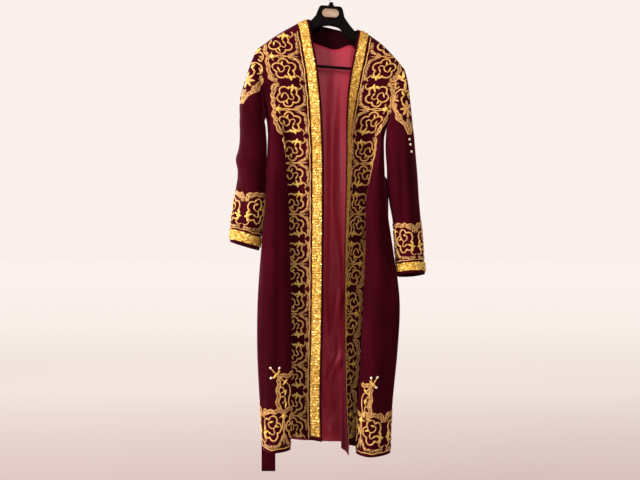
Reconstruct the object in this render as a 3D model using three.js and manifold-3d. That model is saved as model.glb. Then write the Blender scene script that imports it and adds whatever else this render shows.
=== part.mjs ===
// A velvet robe with sequin braid, hanging open on a suit hanger.
// Millimetres, +Z up, fronts face -Y. The origin is inside the crown of the hook.
// Right and left are the wearer's: the right front is on the -X side.

import * as THREE from 'three';
import { mergeVertices } from 'three/addons/utils/BufferGeometryUtils.js';
import Module from 'manifold-3d';

const wasm = await Module();
wasm.setup();

const clothWall = 2.2;        // velvet with its backing
const skinWall = 1.2;         // lining, facing and belt loops
const braidWall = 1.6;
const layerGap = 0.3;         // between a panel and what lies on it
const seamPart = 0.2;         // each side of a seam is held back by this
const braidMargin = 6;        // velvet left free beside the braid
const braidWidth = 30;
const seamLean = 0.35;        // how far the armhole's inner faces lean along its length
const hangerTilt = THREE.MathUtils.degToRad(4.5);

const velvet = new THREE.MeshStandardMaterial({ color: 0x4a0a1e, roughness: 0.85 });
const velvetDark = new THREE.MeshStandardMaterial({ color: 0x35060f, roughness: 0.9 });
const satin = new THREE.MeshStandardMaterial({ color: 0x8c2f40, roughness: 0.4 });
const gold = new THREE.MeshStandardMaterial({ color: 0xd2a23c, roughness: 0.3, metalness: 0.9 });
const blackPlastic = new THREE.MeshStandardMaterial({ color: 0x101012, roughness: 0.35 });
const tanPlate = new THREE.MeshStandardMaterial({ color: 0xb08a78, roughness: 0.4, metalness: 0.3 });
const steel = new THREE.MeshStandardMaterial({ color: 0xb8bcc0, roughness: 0.25, metalness: 1 });

const robe = new THREE.Group();

// Measured tables.

// Shoulder seams: neck point, shoulder point, and how far the seam bows up between them.
const shoulders = {
  right: { neck: [-74, -104], point: [-240, -202], bow: 9 },
  left: { neck: [90, -138], point: [235, -263], bow: 17 },
};

// Armholes: a loop from the shoulder point (0 degrees) to the underarm (180 degrees).
const armholes = {
  right: { top: [-240, -202], under: [-208, -419], middleY: 2, front: 32, back: 36 },
  left: { top: [235, -263], under: [177, -455], middleY: 2, front: 32, back: 36 },
};

// Upper sections of both fronts: where the free edge is, how far it turns to the back
// (degrees), how far the chest swells forward, and where the section meets the armhole.
const upperFront = {
  right: [
    { edge: [-74, 0, -104], turn: 0, swell: 0, armhole: 0 },
    { edge: [-69, -20, -120], turn: 0, swell: -3, armhole: 26 },
    { edge: [-58, -23, -178], turn: 4, swell: -5, armhole: 56 },
    { edge: [-43, -22, -262], turn: 4, swell: -7, armhole: 88 },
    { edge: [-33, -18, -352], turn: 2, swell: -9, armhole: 126 },
  ],
  left: [
    { edge: [90, 0, -138], turn: 0, swell: 0, armhole: 0 },
    { edge: [87, -20, -153], turn: 4, swell: -3, armhole: 26 },
    { edge: [77, -29, -205], turn: 12, swell: -3, armhole: 56 },
    { edge: [61, -37, -282], turn: 24, swell: -4, armhole: 88 },
    { edge: [51, -46, -368], turn: 46, swell: 0, armhole: 126 },
  ],
};
const upperBow = [1, 0.9, 0.5, 0.2, 0];                  // share of the seam's bow in each
const upperShares = [0.2, 0.4, 0.56, 0.7, 0.82, 0.92];   // of the way from braid to armhole

// Lower sections of both fronts, one row for each height. Each column is a fold line that
// runs down the panel from the free edge to the side seam, given as [x, y].
const foldLines = ['edge', 'braid', 'band', 'valley', 'under', 'ridge', 'crest', 'outer', 'side'];
const lowerFront = {
  right: [
    { z: -430, edge: [-28, -14], braid: [-64, -17], band: [-104, -19], valley: [-140, -19],
      under: [-152, -21], ridge: [-158, -27], crest: [-180, -34], outer: [-199, -20], side: [-208, 2] },
    { z: -521, edge: [-24, -12], braid: [-60, -14], band: [-100, -12], valley: [-148, -8],
      under: [-152, -16], ridge: [-147, -30], crest: [-180, -45], outer: [-202, -22], side: [-200, 14] },
    { z: -681, edge: [-23, -13], braid: [-59, -13], band: [-98, -8], valley: [-150, 0],
      under: [-158, -14], ridge: [-134, -38], crest: [-180, -60], outer: [-204, -30], side: [-201, 18] },
    { z: -841, edge: [-24, -14], braid: [-60, -14], band: [-98, -7], valley: [-151, 3],
      under: [-162, -14], ridge: [-129, -45], crest: [-180, -70], outer: [-220, -38], side: [-217, 18] },
    { z: -1001, edge: [-25, -15], braid: [-61, -14], band: [-99, -7], valley: [-152, 4],
      under: [-164, -14], ridge: [-125, -50], crest: [-180, -78], outer: [-230, -41], side: [-226, 20] },
    { z: -1161, edge: [-28, -15], braid: [-64, -13], band: [-101, -6], valley: [-153, 5],
      under: [-165, -14], ridge: [-123, -54], crest: [-180, -84], outer: [-231, -43], side: [-226, 20] },
    { z: -1321, edge: [-31, -15], braid: [-67, -12], band: [-102, -5], valley: [-153, 5],
      under: [-165, -14], ridge: [-125, -56], crest: [-180, -88], outer: [-223, -47], side: [-217, 20] },
    { z: -1462, edge: [-28, -15], braid: [-64, -12], band: [-101, -4], valley: [-152, 6],
      under: [-165, -13], ridge: [-127, -56], crest: [-180, -90], outer: [-213, -50], side: [-206, 20] },
  ],
  left: [
    { z: -458, edge: [48, -54], braid: [63, -21], band: [94, 3], valley: [124, 7],
      under: [140, -2], ridge: [149, -16], crest: [160, -25], outer: [171, -14], side: [177, 2] },
    { z: -521, edge: [48, -60], braid: [61, -27], band: [89, 5], valley: [119, 11],
      under: [137, 0], ridge: [145, -22], crest: [156, -37], outer: [169, -12], side: [165, 18] },
    { z: -681, edge: [45, -67], braid: [54, -32], band: [78, 5], valley: [103, 15],
      under: [119, 2], ridge: [111, -34], crest: [132, -58], outer: [174, -30], side: [171, 22] },
    { z: -841, edge: [42, -75], braid: [48, -39], band: [64, 2], valley: [92, 18],
      under: [113, 4], ridge: [109, -40], crest: [131, -67], outer: [194, -34], side: [190, 22] },
    { z: -1001, edge: [42, -80], braid: [43, -44], band: [55, 0], valley: [86, 20],
      under: [110, 6], ridge: [101, -46], crest: [126, -75], outer: [214, -38], side: [206, 22] },
    { z: -1161, edge: [43, -82], braid: [42, -46], band: [46, -2], valley: [78, 20],
      under: [105, 7], ridge: [93, -50], crest: [121, -81], outer: [207, -40], side: [200, 22] },
    { z: -1321, edge: [47, -84], braid: [43, -48], band: [39, -4], valley: [68, 20],
      under: [94, 6], ridge: [84, -53], crest: [118, -85], outer: [190, -42], side: [184, 22] },
    { z: -1474, edge: [54, -86], braid: [47, -51], band: [34, -6], valley: [60, 20],
      under: [83, 6], ridge: [79, -55], crest: [118, -88], outer: [184, -45], side: [179, 20] },
  ],
};

// How much lower (-) or higher each fold line ends at the hem than the section's own height.
const hemDrop = {
  right: { edge: 10, braid: 16, band: 22, valley: 20, under: 10, ridge: -1, crest: -4, outer: -1, side: 8 },
  left: { edge: 1, braid: 3, band: 3, valley: 2, under: 0, ridge: -3, crest: -5, outer: -4, side: 0 },
};

// The back, at the heights of the upper front sections: the two points of the nape and the
// middle between them, how far the section has left the seam (down), and its depth (out).
const backSections = [
  { nape: [[-50, 24, -112], [64, 24, -138]], middle: [10, 31, -126], down: 0, out: 0 },
  { nape: [[-48, 30, -128], [64, 30, -159]], middle: [11, 34, -141], down: 0.28, out: 0.86 },
  { nape: [[-48, 34, -174], [66, 34, -179]], middle: [14, 37, -192], down: 0.6, out: 1 },
  { nape: [[-50, 37, -270], [56, 37, -280]], middle: [8, 39, -275], down: 0.8, out: 1 },
  { nape: [[-54, 39, -360], [52, 39, -366]], middle: [4, 40, -363], down: 1, out: 1 },
];
const backDepth = 42;                 // of the hanging back panel
const backFolds = [                   // soft pipes down the back: place across, start, depth
  { at: 0.2, from: -520, deep: 9, wide: 0.09 },
  { at: 0.43, from: -640, deep: 7, wide: 0.08 },
  { at: 0.64, from: -480, deep: 10, wide: 0.09 },
  { at: 0.85, from: -700, deep: 7, wide: 0.07 },
];

// Sleeves: outer and inner outline of each ring, and half its depth.
const sleeveRings = {
  right: [
    { outer: [-255, -243], inner: [-212, -430], half: 42 },
    { outer: [-275, -302], inner: [-209, -446], half: 48 },
    { outer: [-291, -368], inner: [-207, -472], half: 52 },
    { outer: [-291, -440], inner: [-205, -504], half: 54 },
    { outer: [-293, -506], inner: [-205, -540], half: 54 },
    { outer: [-304, -554], inner: [-205, -576], half: 56 },
    { outer: [-298, -590], inner: [-206, -604], half: 53 },
    { outer: [-304, -646], inner: [-208, -656], half: 56 },
    { outer: [-313, -704], inner: [-212, -712], half: 57 },
    { outer: [-319, -748], inner: [-218, -764], half: 57 },
    { outer: [-321, -771], inner: [-224, -799], half: 56 },
    { outer: [-322, -803], inner: [-228, -829], half: 55 },
    { outer: [-322, -811], inner: [-229, -838], half: 55 },
  ],
  left: [
    { outer: [242, -290], inner: [176, -466], half: 44 },
    { outer: [250, -338], inner: [175, -482], half: 48 },
    { outer: [257, -396], inner: [174, -505], half: 51 },
    { outer: [264, -466], inner: [175, -540], half: 53 },
    { outer: [270, -534], inner: [178, -580], half: 54 },
    { outer: [276, -606], inner: [179, -634], half: 55 },
    { outer: [280, -672], inner: [186, -690], half: 56 },
    { outer: [285, -732], inner: [196, -742], half: 56 },
    { outer: [290, -786], inner: [202, -792], half: 55 },
    { outer: [294, -834], inner: [205, -840], half: 54 },
    { outer: [297, -875], inner: [207, -881], half: 53 },
    { outer: [299, -901], inner: [209, -905], half: 53 },
    { outer: [300, -909], inner: [210, -915], half: 53 },
  ],
};
const sleeveMiddleY = -4;
const cuffDrop = { right: 9, left: 18, grow: [0, 0.4, 1, 1, 1] };   // the back of each cuff hangs lower
const cuffBraidRings = [10, 11];      // the braid lies between these two rings

const upperSteps = 2;                 // grid rows between two upper sections
const lowerSteps = 2;                 // and between two lower ones
const foldSteps = [0, 2, 2, 2, 2, 3, 3, 2];   // grid columns after each fold line; 0: margin and braid

const belt = {
  width: 45, wall: 2.2, y: 50, waistZ: -602, turn: 32, sag: 14,
  right: { x: -204, end: -1566 }, left: { x: 166, end: -1010 },
};
const loop = { width: 10, high: 68, clear: 0.8, inset: 12 };

// Helpers.

const vec = (x, y, z) => new THREE.Vector3(x, y, z);

// A smooth line through the points, with its own number of steps after each one.
function smoothLine(points, steps) {
  const curve = new THREE.CatmullRomCurve3(points, false, 'centripetal');
  const line = [];
  for (let i = 0; i < points.length - 1; i++) {
    for (let k = 0; k < steps[i]; k++) {
      line.push(curve.getPoint((i + k / steps[i]) / (points.length - 1)));
    }
  }
  line.push(points.at(-1).clone());
  return line;
}

// The outer border runs down the armhole and then the side seam, with a corner between.
function borderLine(points, steps, corner) {
  const armhole = smoothLine(points.slice(0, corner + 1), steps.slice(0, corner));
  return [...armhole.slice(0, -1), ...smoothLine(points.slice(corner), steps.slice(corner))];
}

// Outward normals of a grid of points; facing is +1 or -1, wrap closes it across.
function gridNormals(grid, facing, wrap = false) {
  const rows = grid.length;
  const columns = grid[0].length;
  const near = (j) => (wrap ? (j + columns) % columns : Math.min(Math.max(j, 0), columns - 1));
  return grid.map((row, i) => row.map((_, j) => {
    const down = grid[Math.min(i + 1, rows - 1)][j].clone().sub(grid[Math.max(i - 1, 0)][j]);
    const across = row[near(j + 1)].clone().sub(row[near(j - 1)]);
    return across.cross(down).multiplyScalar(facing).normalize();
  }));
}

const offsetGrid = (grid, normals, distance) =>
  grid.map((row, i) => row.map((point, j) => point.clone().addScaledVector(normals[i][j], distance)));

// A closed wall between an outer and an inner grid of the same size.
function wallBetween(outer, inner, wrap = false) {
  const rows = outer.length;
  const columns = outer[0].length;
  const position = [...outer.flat(), ...inner.flat()].flatMap((p) => [p.x, p.y, p.z]);
  const index = [];
  const at = (side, i, j) => side * rows * columns + i * columns + (j % columns);
  const quad = (a, b, c, d) => index.push(a, b, c, a, c, d);
  const spans = wrap ? columns : columns - 1;
  for (let i = 0; i < rows - 1; i++) {
    for (let j = 0; j < spans; j++) {
      quad(at(0, i, j), at(0, i + 1, j), at(0, i + 1, j + 1), at(0, i, j + 1));
      quad(at(1, i, j), at(1, i, j + 1), at(1, i + 1, j + 1), at(1, i + 1, j));
    }
    if (!wrap) {
      quad(at(0, i, 0), at(1, i, 0), at(1, i + 1, 0), at(0, i + 1, 0));
      quad(at(0, i + 1, spans), at(1, i + 1, spans), at(1, i, spans), at(0, i, spans));
    }
  }
  for (let j = 0; j < spans; j++) {
    quad(at(0, 0, j), at(0, 0, j + 1), at(1, 0, j + 1), at(1, 0, j));
    quad(at(0, rows - 1, j), at(1, rows - 1, j), at(1, rows - 1, j + 1), at(0, rows - 1, j + 1));
  }
  const geometry = new THREE.BufferGeometry();
  geometry.setAttribute('position', new THREE.Float32BufferAttribute(position, 3));
  geometry.setIndex(index);
  return facingOut(geometry);
}

// Turns all triangles round when the closed shape has a negative volume.
function facingOut(geometry) {
  const p = geometry.getAttribute('position');
  const index = Array.from(geometry.index.array);
  const [a, b, c] = [vec(), vec(), vec()];
  let volume = 0;
  for (let i = 0; i < index.length; i += 3) {
    a.fromBufferAttribute(p, index[i]);
    b.fromBufferAttribute(p, index[i + 1]);
    c.fromBufferAttribute(p, index[i + 2]);
    volume += a.dot(b.cross(c));
  }
  if (volume < 0) {
    for (let i = 0; i < index.length; i += 3) [index[i], index[i + 1]] = [index[i + 1], index[i]];
    geometry.setIndex(index);
  }
  geometry.computeVertexNormals();
  return geometry;
}

function addPiece(name, geometry, material) {
  const mesh = new THREE.Mesh(geometry, material);
  mesh.name = name;
  robe.add(mesh);
  return mesh;
}

function toSolid(geometry) {
  const bare = geometry.clone();
  bare.deleteAttribute('normal');
  bare.deleteAttribute('uv');
  const merged = mergeVertices(bare, 1e-4);
  return new wasm.Manifold(new wasm.Mesh({
    numProp: 3,
    vertProperties: new Float32Array(merged.getAttribute('position').array),
    triVerts: new Uint32Array(merged.index.array),
  }));
}

function fromSolid(solid) {
  const mesh = solid.getMesh();
  const geometry = new THREE.BufferGeometry();
  geometry.setAttribute('position', new THREE.BufferAttribute(mesh.vertProperties, 3));
  geometry.setIndex(new THREE.BufferAttribute(mesh.triVerts, 1));
  geometry.computeVertexNormals();
  return geometry;
}

// The body of the robe.

const sideSign = { right: -1, left: 1 };

// A point of the armhole; angle in degrees from the shoulder point, face -1 front, +1 back.
function armholePoint(side, angle, face) {
  const { top, under, middleY, front, back } = armholes[side];
  const turn = THREE.MathUtils.degToRad(angle);
  const share = (1 + Math.cos(turn)) / 2;
  const depth = face < 0 ? front : back;
  return vec(
    THREE.MathUtils.lerp(under[0], top[0], share),
    middleY * (1 - share) + face * depth * Math.sin(turn),
    THREE.MathUtils.lerp(under[1], top[1], share),
  );
}

// The seam between neck and shoulder point, at a share of its length.
function shoulderPoint(side, share) {
  const { neck, point, bow } = shoulders[side];
  return vec(
    THREE.MathUtils.lerp(neck[0], point[0], share),
    0,
    THREE.MathUtils.lerp(neck[1], point[1], share) + bow * Math.sin(Math.PI * share),
  );
}

function upperSection(side, row, i) {
  const sign = sideSign[side];
  const reach = braidMargin + braidWidth;
  const edge = vec(...row.edge);
  const hole = armholePoint(side, row.armhole, -1);
  const turn = THREE.MathUtils.degToRad(row.turn);
  const seamLength = shoulders[side].point[0] - shoulders[side].neck[0];
  if (i === 0) {
    const first = reach / Math.hypot(seamLength, shoulders[side].point[1] - shoulders[side].neck[1]);
    const shares = [0, first, ...upperShares.map((s) => first + s * (1 - first)), 1];
    return shares.map((share) => shoulderPoint(side, share));
  }
  const slope = (hole.z - edge.z) / Math.abs(hole.x - edge.x);
  const flat = reach / Math.hypot(1, slope * Math.cos(turn));
  const braid = edge.clone().add(vec(
    sign * flat * Math.cos(turn), flat * Math.sin(turn), slope * flat * Math.cos(turn)));
  const between = upperShares.map((share) => {
    const point = braid.clone().lerp(hole, share);
    point.y += row.swell * Math.sin(Math.PI * share);
    point.z += shoulders[side].bow * upperBow[i] * Math.sin(Math.PI * share);
    return point;
  });
  return [edge, braid, ...between, hole];
}

function lowerSection(side, row, isHem, isUnderarm) {
  const points = foldLines.map((line) => {
    const drop = isHem ? hemDrop[side][line] : 0;
    return vec(row[line][0], row[line][1], row.z + drop);
  });
  if (isUnderarm) points[points.length - 1] = armholePoint(side, 180, -1);
  return points;
}

// Two strips beside the free edge: the bare margin, and the braid in two halves.
function withMargin(points) {
  const [edge, braid] = points;
  const total = edge.distanceTo(braid);
  const shares = [braidMargin / total, (braidMargin + braidWidth / 2) / total];
  return [edge, ...shares.map((share) => edge.clone().lerp(braid, share))];
}

function frontGrid(side) {
  const sections = [
    ...upperFront[side].map((row, i) => upperSection(side, row, i)),
    ...lowerFront[side].map((row, i, all) => lowerSection(side, row, i === all.length - 1, i === 0)),
  ];
  const rowSteps = sections.slice(1).map((_, i) => (i < upperFront[side].length ? upperSteps : lowerSteps));
  const lines = foldLines.map((line, k) => {
    const points = sections.map((section) => section[k]);
    if (line === 'side') return borderLine(points, rowSteps, upperFront[side].length);
    return smoothLine(points, rowSteps);
  });
  return lines[0].map((_, i) => {
    const section = lines.map((line) => line[i]);
    const curved = smoothLine(section, [1, ...foldSteps.slice(1)]);
    return [...withMargin(section), ...curved.slice(1)];
  });
}

// Where the inner face lies: straight inward, except along seams, where both pieces that
// meet use one shared direction.
function inwardDirections(grid, normals, side, armholeRows, face) {
  const last = grid[0].length - 1;
  const inward = normals.map((row) => row.map((n) => n.clone().negate()));
  const { top, under } = armholes[side];
  for (let j = 0; j <= last; j++) if (grid[0][j].y * face < 1) inward[0][j].set(0, 0, -1);
  for (let i = 0; i < grid.length; i++) {
    if (i < armholeRows) {
      const centre = vec((top[0] + under[0]) / 2, 0, (top[1] + under[1]) / 2);
      const toCentre = centre.sub(grid[i][last]);
      const along = vec(top[0] - under[0], 0, top[1] - under[1]).normalize();
      const height = toCentre.dot(along);
      inward[i][last] = along.multiplyScalar(height * seamLean).add(vec(0, toCentre.y, 0)).normalize();
      if (i === armholeRows - 1) inward[i][last].add(vec(-sideSign[side], 0, 0)).normalize();
    } else inward[i][last].set(-sideSign[side], 0, 0);
  }
  return inward;
}

// Holds a panel back from its seams so that the pieces stay parted.
function partSeams(grid, side, armholeRows, face) {
  const last = grid[0].length - 1;
  grid[0].forEach((p) => { if (Math.abs(p.y) < 1) p.y = face * seamPart; });
  grid.forEach((row, i) => {
    if (i < armholeRows) row[last].x -= sideSign[side] * seamPart;
    else row[last].y += face * seamPart;
  });
}

const armholeRows = upperFront.right.length * upperSteps + 1;
const fronts = {};
const armholeLoops = { right: [], left: [] };

for (const side of ['right', 'left']) {
  const grid = frontGrid(side);
  armholeLoops[side].push(...grid.slice(0, armholeRows).map((row) => row.at(-1).clone()));
  partSeams(grid, side, armholeRows, -1);
  const normals = gridNormals(grid, -sideSign[side]);
  const inward = inwardDirections(grid, normals, side, armholeRows, -1);
  fronts[side] = { grid, normals };
  addPiece(`front_${side}`, wallBetween(grid, offsetGrid(grid, inward, clothWall)), velvet);
}

// Strips of braid lie on a panel's own points, moved out.
function braidOn(name, grid, normals, wrap = false) {
  const under = offsetGrid(grid, normals, layerGap);
  const over = offsetGrid(grid, normals, layerGap + braidWall);
  addPiece(name, wallBetween(over, under, wrap), gold);
}

const braidColumns = [1, 4];
const hemBare = 10;                   // velvet left below the braid at the hem
for (const side of ['right', 'left']) {
  const { grid, normals } = fronts[side];
  const strip = grid.map((row) => row.slice(...braidColumns).map((p) => p.clone()));
  const lastRow = strip.at(-1);
  const above = strip.at(-2);
  lastRow.forEach((p, j) => p.lerp(above[j], hemBare / p.distanceTo(above[j])));
  strip[0].forEach((p) => { p.y = -seamPart; });
  const stripNormals = normals.map((row) => row.slice(...braidColumns));
  stripNormals[0].forEach((n) => n.set(0, 0, 1));
  braidOn(`braid_front_${side}`, strip, stripNormals);
}

// The back.

// Knots of the back's upper sections from shoulder to neck point: share of the seam that is
// left, and how far they lie from the armhole towards the middle of the back.
const backKnots = [[1, 0], [0.66, 0.27], [0.33, 0.52], [0, 0.7]];
const backSteps = [2, 2, 1, 2, 2, 2, 2, 1, 2, 2];

function backFold(share, z) {
  return backFolds.reduce((sum, fold) => {
    const grow = THREE.MathUtils.smoothstep(fold.from - z, 0, 520);
    const off = (share - fold.at) / fold.wide;
    return sum + fold.deep * grow * Math.exp(-off * off);
  }, 0);
}

// Across the back: right side, shoulder, neck point, middle, neck point, shoulder, left side.
function backUpperSection(row, i) {
  const ends = ['right', 'left'].map((side) => armholePoint(side, upperFront[side][i].armhole, 1));
  const middle = vec(...row.middle);
  const half = (side, end) => backKnots.map(([seam, inward], k) => {
    if (k === 0) return end;
    const hanging = end.clone().lerp(middle, inward);
    hanging.y = THREE.MathUtils.lerp(end.y, middle.y, Math.sin((inward * Math.PI) / 2));
    const depth = hanging.y * row.out;
    return shoulderPoint(side, seam).lerp(hanging, row.down).setY(depth);
  });
  const [right, left] = [half('right', ends[0]), half('left', ends[1])];
  return [...right, vec(...row.nape[0]), middle, vec(...row.nape[1]), ...left.reverse()];
}

function backLowerSection(i) {
  const rows = ['right', 'left'].map((side) => lowerFront[side][i]);
  const isHem = i === lowerFront.right.length - 1;
  const drop = ['right', 'left'].map((side) => (isHem ? hemDrop[side].side : 0));
  const ends = rows.map((row, k) => (i === 0
    ? armholePoint(k ? 'left' : 'right', 180, 1)
    : vec(row.side[0], row.side[1], row.z + drop[k])));
  const count = backSteps.length;
  return Array.from({ length: count + 1 }, (_, k) => {
    const share = k / count;
    const point = ends[0].clone().lerp(ends[1], share);
    const belly = Math.min(1, 2.4 * Math.sin(Math.PI * share));
    point.y = THREE.MathUtils.lerp(point.y, backDepth, belly);
    point.y += backFold(share, point.z) * (k > 0 && k < count ? 1 : 0);
    return point;
  });
}

function backGrid() {
  const sections = [
    ...backSections.map(backUpperSection),
    ...lowerFront.right.map((_, i) => backLowerSection(i)),
  ];
  const rowSteps = sections.slice(1).map((_, i) => (i < backSections.length ? upperSteps : lowerSteps));
  const across = sections[0].length;
  const lines = Array.from({ length: across }, (_, k) => {
    const points = sections.map((section) => section[k]);
    const isBorder = k === 0 || k === across - 1;
    return isBorder ? borderLine(points, rowSteps, backSections.length) : smoothLine(points, rowSteps);
  });
  return lines[0].map((_, i) => smoothLine(lines.map((line) => line[i]), backSteps));
}

const back = backGrid();
const backLast = back[0].length - 1;
armholeLoops.right.push(...back.slice(1, armholeRows - 1).map((row) => row[0].clone()).reverse());
armholeLoops.left.push(...back.slice(1, armholeRows - 1).map((row) => row[backLast].clone()).reverse());

for (const [side, column] of [['right', 0], ['left', backLast]]) {
  back.forEach((row, i) => {
    if (i < armholeRows) row[column].x -= sideSign[side] * seamPart;
    else row[column].y += seamPart;
  });
}
back[0].forEach((p) => { p.y = Math.max(p.y, seamPart); });
const backNormals = gridNormals(back, 1);
const backInward = backNormals.map((row) => row.map((n) => n.clone().negate()));
back[0].forEach((p, j) => { if (p.y < 1) backInward[0][j].set(0, 0, -1); });
for (const [side, column] of [['right', 0], ['left', backLast]]) {
  const mirrored = back.map((row) => [row[column]]);
  const shared = inwardDirections(mirrored, backNormals.map((row) => [row[column]]), side, armholeRows, 1);
  back.forEach((_, i) => { backInward[i][column] = shared[i][0]; });
}
const backInner = offsetGrid(back, backInward, clothWall);
addPiece('back', wallBetween(back, backInner), velvet);

// Facing and lining are skins in front of the inner face, clear of the side seams.
const facingRow = 4;
const skinColumns = [2, backLast - 1];
const facingColumns = [6, backLast - 5];
function skinOn(name, rows, columns, material) {
  const base = backInner.slice(...rows).map((row) => row.slice(...columns).map((p) => p.clone()));
  if (rows[0] > 0) base[0].forEach((p, j) => p.lerp(base[1][j], layerGap / p.distanceTo(base[1][j])));
  const direction = backInward.slice(...rows).map((row) => row.slice(...columns));
  addPiece(name, wallBetween(
    offsetGrid(base, direction, layerGap), offsetGrid(base, direction, layerGap + skinWall)), material);
}
skinOn('neck_facing', [0, facingRow + 1], facingColumns, velvetDark);
skinOn('lining_back', [facingRow, back.length], skinColumns, satin);

// The neck braid follows the back neckline, outside.
const neckColumns = [5, backLast - 4];
const neckRows = 4;
const neckStrip = back.slice(0, neckRows).map((row) => row.slice(...neckColumns).map((p) => p.clone()));
braidOn('braid_neck', neckStrip, backNormals.slice(0, neckRows).map((row) => row.slice(...neckColumns)));

// Sleeves.

function sleeveGrid(side) {
  const loopPoints = armholeLoops[side];
  const count = loopPoints.length;
  const sign = sideSign[side];
  const first = loopPoints.map((p) => p.clone().add(vec(sign * seamPart, 0, 0)));
  const drops = [...Array(sleeveRings[side].length - cuffDrop.grow.length).fill(0), ...cuffDrop.grow];
  const rings = sleeveRings[side].map(({ outer, inner, half }, i) => {
    const top = vec(outer[0], sleeveMiddleY, outer[1]);
    const bottom = vec(inner[0], sleeveMiddleY, inner[1]);
    const centre = top.clone().lerp(bottom, 0.5);
    return loopPoints.map((_, j) => {
      const angle = (2 * Math.PI * j) / count;
      return centre.clone()
        .addScaledVector(top.clone().sub(bottom), Math.cos(angle) / 2)
        .add(vec(0, -half * Math.sin(angle), -drops[i] * cuffDrop[side] * (1 - Math.sin(angle)) / 2));
    });
  });
  return [first, ...rings];
}

for (const side of ['right', 'left']) {
  const grid = sleeveGrid(side);
  const normals = gridNormals(grid, sideSign[side], true);
  const inward = normals.map((row) => row.map((n) => n.clone().negate()));
  const { top, under } = armholes[side];
  const along = vec(top[0] - under[0], 0, top[1] - under[1]).normalize();
  const centre = vec((top[0] + under[0]) / 2, 0, (top[1] + under[1]) / 2);
  grid[0].forEach((p, j) => {
    const toCentre = centre.clone().sub(p);
    inward[0][j] = along.clone().multiplyScalar(seamLean * toCentre.dot(along))
      .add(vec(0, toCentre.y, 0)).normalize();
  });
  addPiece(`sleeve_${side}`, wallBetween(grid, offsetGrid(grid, inward, clothWall), true), velvet);
  const [from, to] = cuffBraidRings.map((ring) => ring + 1);
  braidOn(`braid_cuff_${side}`, grid.slice(from, to + 1), normals.slice(from, to + 1), true);
}

// The belt and its loops.

// A strip of cloth along stations; each has a point, a width direction and a way out.
function ribbon(stations, width, wall) {
  const edges = stations.map(({ point, wide }) =>
    [-0.5, 0, 0.5].map((share) => point.clone().addScaledVector(wide, share * width)));
  const outer = edges.map((row, i) => row.map((p) => p.clone().addScaledVector(stations[i].out, wall)));
  return wallBetween(outer, edges);
}

// The belt lies round the back of the waist in its loops; both ends turn down and hang.
function beltStations() {
  const { y, waistZ, turn, sag, right, left } = belt;
  const out = vec(0, 1, 0);
  const station = (x, z, heading) => ({ point: vec(x, y, z), wide: out.clone().cross(heading), out });
  const bend = [0, 18, 36, 54, 72, 90].map(THREE.MathUtils.degToRad);
  const low = waistZ - turn;
  const up = [1, 0.66, 0.33].map((share) =>
    station(right.x, THREE.MathUtils.lerp(low, right.end, share), vec(0, 0, 1)));
  const turnIn = bend.map((a) => station(
    right.x + turn * (1 - Math.cos(a)), low + turn * Math.sin(a), vec(Math.sin(a), 0, Math.cos(a))));
  const across = [0.2, 0.4, 0.6, 0.8].map((share) => station(
    THREE.MathUtils.lerp(right.x + turn, left.x - turn, share), waistZ - sag * Math.sin(Math.PI * share),
    vec(1, 0, 0)));
  const turnDown = bend.map((a) => station(
    left.x - turn * (1 - Math.sin(a)), low + turn * Math.cos(a), vec(Math.cos(a), 0, -Math.sin(a))));
  const down = [0.33, 0.66, 1].map((share) =>
    station(left.x, THREE.MathUtils.lerp(low, left.end, share), vec(0, 0, -1)));
  return [...up, ...turnIn, ...across, ...turnDown, ...down];
}

addPiece('belt', ribbon(beltStations(), belt.width, belt.wall), velvet);

// How far out the back panel stands at a place seen from behind.
function backSurface(x, z) {
  const ray = new THREE.Ray(vec(x, 500, z), vec(0, -1, 0));
  const hit = vec();
  for (let i = 0; i < back.length - 1; i++) {
    for (let j = 0; j < backLast; j++) {
      const [a, b, c, d] = [back[i][j], back[i + 1][j], back[i + 1][j + 1], back[i][j + 1]];
      const meets = ray.intersectTriangle(a, b, c, false, hit) || ray.intersectTriangle(a, c, d, false, hit);
      if (meets) return hit.y;
    }
  }
  return backDepth;
}

// Each loop starts and ends on the back panel and arches over the belt.
for (const side of ['right', 'left']) {
  const x = belt[side].x - sideSign[side] * (belt.turn + loop.inset);
  const over = belt.y + belt.wall + loop.clear;
  const out = [[0.5, 0], [0.46, 0.7], [0.38, 1], [0, 1], [-0.38, 1], [-0.46, 0.7], [-0.5, 0]];
  const points = out.map(([height, share]) => {
    const z = belt.waistZ + height * loop.high;
    const surface = Math.max(...[-0.5, 0, 0.5].map((s) => backSurface(x + s * loop.width, z)));
    return vec(x, THREE.MathUtils.lerp(surface + 2 * layerGap, over, share), z);
  });
  const stations = points.map((point, i) => {
    const along = points[Math.min(i + 1, 6)].clone().sub(points[Math.max(i - 1, 0)]).normalize();
    const way = i === 0 || i === 6 ? vec(0, 0, i ? -1 : 1) : vec(1, 0, 0).cross(along);
    return { point, wide: vec(1, 0, 0), out: way };
  });
  addPiece(`belt_loop_${side}`, ribbon(stations, loop.width, skinWall), velvet);
}

// The hanger.

const hanger = {
  pivotZ: -62, headDepth: 15, armHeight: [17, 9], armDepth: [8, 11], under: 4,
  barZ: -256, barRadius: 4.5, barEnd: 186, wire: 1.9, crown: 22,
};
const tilted = new THREE.Group();
tilted.position.z = hanger.pivotZ;
tilted.rotation.y = hangerTilt;
robe.add(tilted);
const fromTilted = (x, z) => vec(x, 0, z - hanger.pivotZ)
  .applyAxisAngle(vec(0, 1, 0), hangerTilt).add(vec(0, 0, hanger.pivotZ));

// Half outline of the head from its top middle round to the middle of the arch below.
const headOutline = [
  [0, -62], [29, -62], [35, -65], [38, -70], [42, -82], [46, -95], [55, -107], [67, -121], [78, -132],
  [82, -144], [80, -160], [72, -160], [60, -150], [49, -142], [37, -134], [27, -127], [0, -123],
];

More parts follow.
